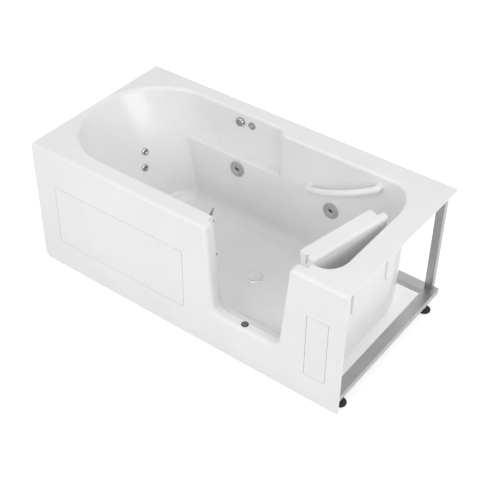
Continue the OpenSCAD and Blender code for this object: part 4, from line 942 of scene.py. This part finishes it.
BAR_LINE, BAR_ENDS = bar_points()
rail = tube("grab_rail", [BAR_LINE], BAR_R, BAR_NYLON, sides=48, step=3)
shown(rail, None, "grab_bar")
ROSE = [(0, 0), (19, 0), (19, 2.4), (18.5, 3.8), (17.4, 4.8), (16.4, 5), (15.2, 4.6), (0, 4.6)]
roses = [turned("rose", ROSE, standing(end, wall_normal(end.z))) for end in BAR_ENDS]
shown(smooth(joined("grab_rail_roses", roses)), BAR_NYLON, "grab_bar_flanges")


# Jets and controls

JET_RING = [(22.4, 0.2), (37, 0.2), (37, 1.2), (36.5, 2.8), (35.2, 4.1), (33, 4.9), (30.6, 5), (29.4, 4.3)]
JET_RING += [(28.4, 4.3), (27.4, 5), (25.2, 5), (23.6, 4.5), (22.6, 3.4)]
JET_NOZZLE = [(7, -10.5), (17, -10.5), (17, 0.4), (21.9, 0.4), (21.9, 3.2), (21.2, 4.2), (19.8, 4.6)]
JET_NOZZLE += [(18.2, 4.2), (15.8, 1.2), (14.6, -1.6), (13, -2.6), (11.2, -0.8), (10.2, 1.6)]
JET_NOZZLE += [(9.4, 2.6), (8.4, 2.8), (7.3, 2.2), (7, 1)]
RIB = [(0, 1.2), (1.6, 1.2), (1.6, 3.6), (1.1, 4.2), (0, 4.4)]
RIB_AWAY, JET_LIFT = 16.2, 0.15


def jet_vanes(place):
    """Six small grip ribs round the nozzle's face, so that its turning shows."""
    spots = curve(0, 0, RIB_AWAY / 1000, 20, 320, 5)
    return [turned("rib", RIB, place @ Matrix.Translation((x, y, 0)), 12) for x, y in spots]


def painted_shade_slot(place):
    """A black slot, 21 by 7.6 mm, on a slant, filling the nozzle's bore behind: painted shade, standing for
    the shadow in the nozzle's aperture.
    """
    c, s = math.cos(math.radians(-29)), math.sin(math.radians(-29))
    rings = []
    for z, half, r in ((-10.4, 0, 6.9), (-3, 0, 6.9), (-3, 6.7, 3.8), (2.9, 6.7, 3.8), (3.1, 6.7, 3.5)):
        ring = curve(half, 0, r, -90, 90, 12) + curve(-half, 0, r, 90, 270, 12)
        rings.append([(x * c - y * s, x * s + y * c, z) for x, y in ring])
    slot = loft("slot", rings)
    slot.data.transform(place @ Matrix.Translation(-at(0, 0, 0)))
    return slot


for point, label in zip(JET_POINTS, ("head", "foot")):
    place = standing(point, JET_NORMAL) @ Matrix.Translation((0, 0, JET_LIFT / 1000))
    ring = turned("jet_trim_" + label, JET_RING, place, 96)
    shown(smooth(ring, 40), JET_ABS, "jet_ring_" + label)
    # A black insert in the nozzle's bore: painted shade of its aperture, not a part of its own.
    shade_insert = painted_shade_slot(place)
    shade_insert.name = "jet_throat_" + label
    turning = "jet_nozzle_" + label
    shown(smooth(shade_insert, 40), BLACK_ABS, body=turning)
    nozzle = joined("jet_eye_" + label, [turned("nozzle", JET_NOZZLE, place, 72)] + jet_vanes(place))
    shown(smooth(nozzle, 40), EYE_ABS, turning, turning)

IN_PLACE = Matrix.Identity(4)
BACK_TRIM = [(8.1, 0.6), (16, 0), (16, 1), (15.4, 2.2), (13.6, 3.4), (11.2, 4), (8.4, 4)]
BACK_TRIM += [(6.2, 3.7), (5.4, 3.3), (5.5, 3), (8.1, 3)]
BACK_TRIM_BODY = [(0, -34), (11, -34), (11, 0.4), (0, 0.4)]
parts = [turned("trim", BACK_TRIM, IN_PLACE, 48), turned("trim", BACK_TRIM_BODY, IN_PLACE, 32)]
trims = copies("back_jet_trims", smooth(joined("trim", parts)), back_jet_places(), CHROME)
shown(smooth(trims), None, "back_jet_bodies")
EYE = [(2.5, -1), (8, -1), (8, 1.6), (6.8, 2.6), (4.6, 2.9), (3.2, 2.4), (2.5, 1.4)]
eyes = copies("back_jet_eyes", turned("eye", EYE, IN_PLACE, 32), back_jet_places(), BLACK_ABS)
shown(smooth(eyes), None, "back_jet_nozzles")

AIR_TRIM = [(0, 26), (14, 26), (14, 0), (18, 0), (18, -1.2), (17.2, -2), (0, -2)]
place = standing(AIR_CONTROL, INTO_WALL)
shown(smooth(turned("air_trim", AIR_TRIM, place)), CHROME, "air_control_body")


def air_knob():
    """A knob with finger hollows round its edge, a dished face and a raised pointer."""
    x0, y0, z0 = AIR_CONTROL
    rings = []
    for height, radius in ((-2.4, 19), (-3.2, 20), (-9.4, 20), (-10.4, 19.2), (-15, 17.6), (-16.2, 16.4)):
        ring = []
        for a in arc(0, 357.5, 143):
            hollow = 2.2 * max(0, math.cos(8 * a)) ** 2 * (1 if height > -15.6 else 0.7)
            ring.append(((radius - hollow) * math.cos(a), height, (radius - hollow) * math.sin(a)))
        rings.append([(x0 + x, y0 + y, z0 + z) for x, y, z in ring])
    body = loft("knob", rings)
    face = [(0, 13.6), (12.6, 13.6), (13.2, 14.6), (12.4, 16.3), (0, 16.4)]
    dish = turned("dish", face, standing(AIR_CONTROL, OUT_OF_WALL))
    pointer = block((x0 - 1.4, y0 - 16.4, z0 + 4), (x0 + 1.4, y0 - 15.2, z0 + 14))
    return joined("air_dial", [body, dish, pointer])


shown(smooth(air_knob(), 40), CHROME, "air_control_knob", "air_knob")
BUTTON_RING = [(11.4, 26), (14, 26), (14, 0), (16.5, 0), (16.5, -4.4), (15.8, -5.6), (14.6, -6)]
BUTTON_RING += [(12.4, -6), (11.4, -5)]
place = standing(BUTTON_SEAT, INTO_WALL)
shown(smooth(turned("button_trim", BUTTON_RING, place)), CHROME, "button_body")
BUTTON = [(0, 0), (11, 0), (11, -5.6), (10.4, -6.8), (8.8, -7.4), (6, -7.3), (3, -6.9), (0, -6.8)]
shown(smooth(turned("button_cap", BUTTON, place)), JET_ABS, "pump_button", "pump_button")


# Drains

place = standing(DRAIN, UP)
FLANGE = [(22, 0.2), (22, -38.8), (26, -38.8), (26, 0.05), (38, 0.05), (38, 0.8), (37, 2), (34, 2.8)]
FLANGE += [(30, 3), (24, 2.2)]
shown(smooth(turned("waste_flange", FLANGE, place, 72)), PALE_CHROME, "drain_flange")
STOPPER = [(0, -42.6), (4, -42.6), (4, 3.4), (31, 3.4), (31, 4.6), (30, 6), (26, 6.9), (16, 7.3), (0, 7.4)]
shown(smooth(turned("stopper_cap", STOPPER, place, 72)), BAR_NYLON, "drain_stopper", "stopper")
place = standing(SILL_DRAIN, UP)
SILL_RING = [(0, -22), (9, -22), (9, 0), (15, 0), (15, 1), (14.4, 2.2), (13, 3), (10.8, 3)]
SILL_RING += [(10.5, 1.5), (0, 1.5)]
shown(smooth(turned("sill_ring", SILL_RING, place)), BLACK_ABS, "sill_drain_ring")


def sill_cap():
    """A small grey strainer with eight slots."""
    x, y, z = SILL_DRAIN
    middle = at(x, y, z)
    profile = [(0, 1.5), (10.5, 1.5), (10.5, 2.9), (9.9, 3.7), (8.4, 4), (0, 4)]
    cap = turned("sill_strainer", profile, standing(SILL_DRAIN, UP))
    slots = []
    for k in range(8):
        slot = block((x + 3.4, y - 0.8, z + 2.4), (x + 8, y + 0.8, z + 5))
        turn = Matrix.Rotation(math.radians(45 * k), 4, "Z")
        slot.data.transform(Matrix.Translation(middle) @ turn @ Matrix.Translation(-middle))
        slots.append(slot)
    return carve(cap, slots)


shown(smooth(sill_cap()), STRAINER_ABS, "sill_drain_cap")


# Feet and fasteners

FEET = [((x, y, 0), UP) for x in (29, 1495) for y in (61, 706)]
FEET += [((LENGTH / 2, y, 0), UP) for y in (44, 748)]
PAD = [(0, 0), (24, 0), (25.5, 1), (27.5, 1.6), (27.5, 6), (26.6, 6.9), (14, 12), (12, 13)]
PAD += [(6, 13), (6, 7), (0, 7)]
pads = copies("foot_discs", smooth(turned("pad item", PAD, IN_PLACE, 40)), FEET, FOOT_RUBBER)
shown(smooth(pads), None, "foot_pads")
# Thread of the stems: rings 1.75 mm apart, drawn without their helix
thread = [(0, 7)] + [(r, 7 + 1.75 * k + dz) for k in range(36) for r, dz in ((5.2, 0), (6, 0.7), (6, 1.05))]
thread += [(5.2, 70), (0, 72)]
stems = copies("foot_spindles", smooth(turned("stem item", thread, IN_PLACE, 20)), FEET, ZINC)
shown(smooth(stems, 50), None, "foot_stems")
nut_rings = [
    [(x, y, z) for x, y in curve(0, 0, r, 0, 300, 5)]
    for r, z in ((9.6, 44), (11, 44.7), (11, 51.3), (9.6, 52))
]
nut = loft("nut item", nut_rings)
nut.data.transform(Matrix.Translation(-at(0, 0, 0)))
nuts = copies("lock_nuts", nut, FEET, ZINC)
shown(smooth(nuts, 25), None, "foot_lock_nuts")

SCREW = [(0, 0), (3, 0), (3, 0.5), (2.5, 1.2), (1.5, 1.6), (1.1, 1.2), (0.5, 0.6), (0, 0.5)]
screw = smooth(turned("screw item", SCREW, IN_PLACE, 24))
# Four to each hinge, in its leaf beside the pin
SCREW_X, SCREW_Y = 18, (-14.7, 7.3)
hinge_places = [
    ((HINGE_X + SCREW_X, HINGE_Y + y, z + KNUCKLE * share), (-1, 0, 0))
    for z in HINGE_Z
    for share in (0.25, 0.75)
    for y in SCREW_Y
]
screws = copies("hinge_screw_heads", screw, hinge_places, CHROME)
shown(smooth(screws), None, "hinge_screws")


# Hoses behind the basin

HOSE_Y, HOSE_Z, HOSE_R = 744, 430, 6.6
RIBBED = {"sides": 20, "step": 1.5, "rib": 0.4, "pitch": 6}
CONTROL_TAIL, JET_TAIL, BACK_JET_TAIL = 22, 50, 31.5
near, far = JET_X
end_y = back_wall(JET_Z) + JET_TAIL
x, y, z = AIR_CONTROL
air_lines = [
    [(x, y + CONTROL_TAIL, z), (x, HOSE_Y, z), (x, HOSE_Y, HOSE_Z), (far, HOSE_Y, HOSE_Z)],
    [(near, HOSE_Y, HOSE_Z), (near, HOSE_Y, JET_Z), (near, end_y, JET_Z)],
]
air_lines[0] += [(far, HOSE_Y, JET_Z), (far, end_y, JET_Z)]
line = tube("air_line", air_lines, HOSE_R, HOSE_VINYL, bend=16, **RIBBED)
shown(line, None, "air_hose")
# Water lines of the back jets, from behind each jet down to the branch at the head end
BRANCH_X, BRANCH_Z = 79.5, 300
branches = []
for point, normal in back_jet_places():
    tail = point - normal * BACK_JET_TAIL
    branches.append([tuple(tail), (BRANCH_X, tail.y, BRANCH_Z)])
lines = tube("back_jet_lines", branches, HOSE_R, HOSE_VINYL, **RIBBED)
shown(lines, None, "back_jet_hoses")
# The button's air tube runs behind the wall, round the head end and down to the pump's terminal box
START_Z, RUN_X, RUN_Y, RUN_Z, LOW_Z = 537, 30, 730, 480, 400
BOX_X, BOX_Y, BOX_Z = 122.5, 119, 245
x = BUTTON_SEAT[0]
signal_line = [(x, RUN_Y, START_Z), (x, RUN_Y, RUN_Z), (RUN_X, RUN_Y, RUN_Z), (RUN_X, RUN_Y, LOW_Z)]
signal_line += [(RUN_X, BOX_Y, LOW_Z), (BOX_X, BOX_Y, LOW_Z), (BOX_X, BOX_Y, BOX_Z)]
signal = tube("air_signal_tube", [signal_line], 3, HOSE_VINYL, bend=12, sides=12, step=4)
shown(signal, None, "button_tube")


# Stage, lights and camera


def seen_by(tree, *kinds):
    """1 for rays of these kinds, which are shown plain white behind the part."""
    rays = add(tree, "ShaderNodeLightPath").outputs
    seen = rays[kinds[0]]
    for kind in kinds[1:]:
        seen = add(tree, "ShaderNodeMath", {"operation": "MAXIMUM"}, in0=seen, in1=rays[kind]).outputs[0]
    return seen


def studio():
    floor = new_object("floor", bpy.data.meshes.new("floor"))
    floor.data.from_pydata([(-9, -9, 0), (9, -9, 0), (9, 9, 0), (-9, 9, 0)], [], [(0, 1, 2, 3)])
    paper = bpy.data.materials.new("white_paper_floor")
    tree = emptied(paper)
    seen = seen_by(tree, "Is Camera Ray", "Is Glossy Ray")
    matt = add(tree, "ShaderNodeBsdfDiffuse", Color=hex_colour("#EDEDED")).outputs[0]
    lift = add(tree, "ShaderNodeEmission", Color=hex_colour("#FFFFFF"), Strength=0.45).outputs[0]
    both = add(tree, "ShaderNodeAddShader", in0=matt, in1=lift).outputs[0]
    mixed = add(tree, "ShaderNodeMixShader", Fac=seen, in1=matt, in2=both)
    add(tree, "ShaderNodeOutputMaterial", Surface=mixed.outputs[0])
    floor.data.materials.append(paper)

    world = bpy.data.worlds.new("studio")
    bpy.context.scene.world = world
    tree = emptied(world)
    seen = seen_by(tree, "Is Camera Ray", "Is Glossy Ray", "Is Transmission Ray")
    soft = add(tree, "ShaderNodeBackground", Color=hex_colour("#FFFFFF"), Strength=0.61).outputs[0]
    white = add(tree, "ShaderNodeBackground", Color=hex_colour("#FFFFFF"), Strength=1.0).outputs[0]
    mixed = add(tree, "ShaderNodeMixShader", Fac=seen, in1=soft, in2=white)
    add(tree, "ShaderNodeOutputWorld", Surface=mixed.outputs[0])


def lamp(name, place, size, power):
    """A soft box that looks at the tub."""
    data = bpy.data.lights.new(name, "AREA")
    data.shape = "RECTANGLE"
    data.size, data.size_y = size
    data.energy = power
    light = new_object(name, data)
    aim = Vector(place) - LAMP_AIM
    light.matrix_world = Matrix.Translation(place) @ aim.to_track_quat("Z", "Y").to_matrix().to_4x4()


def camera():
    """The photograph's view: 36.8 degrees round to the right, 39.6 degrees up."""
    azimuth, elevation, roll = math.radians(36.80), math.radians(39.56), math.radians(0.46)
    level = math.cos(elevation)
    back = Vector((math.sin(azimuth) * level, -math.cos(azimuth) * level, math.sin(elevation)))
    right = Vector((0, 0, 1)).cross(back).normalized()
    up = back.cross(right)
    x = math.cos(roll) * right + math.sin(roll) * up
    y = -math.sin(roll) * right + math.cos(roll) * up
    data = bpy.data.cameras.new("camera")
    data.sensor_width = 36
    data.lens = 79.6
    data.clip_end = 50
    view = new_object("camera", data)
    turn = Matrix((x, y, back)).transposed().to_4x4()
    view.matrix_world = Matrix.Translation((2.0539, -2.7334, 3.0409)) @ turn
    bpy.context.scene.camera = view


studio()
LAMP_AIM = Vector((0, 0, 0.3))
lamp("front", (-0.6, -3.3, 2.2), (3.2, 1.4), 38)
lamp("right", (3.6, -0.6, 2.2), (2.4, 1.4), 40)
lamp("top", (0, 0.4, 3.6), (2.6, 1.6), 14)
camera()
bpy.context.scene.view_settings.view_transform = "Standard"
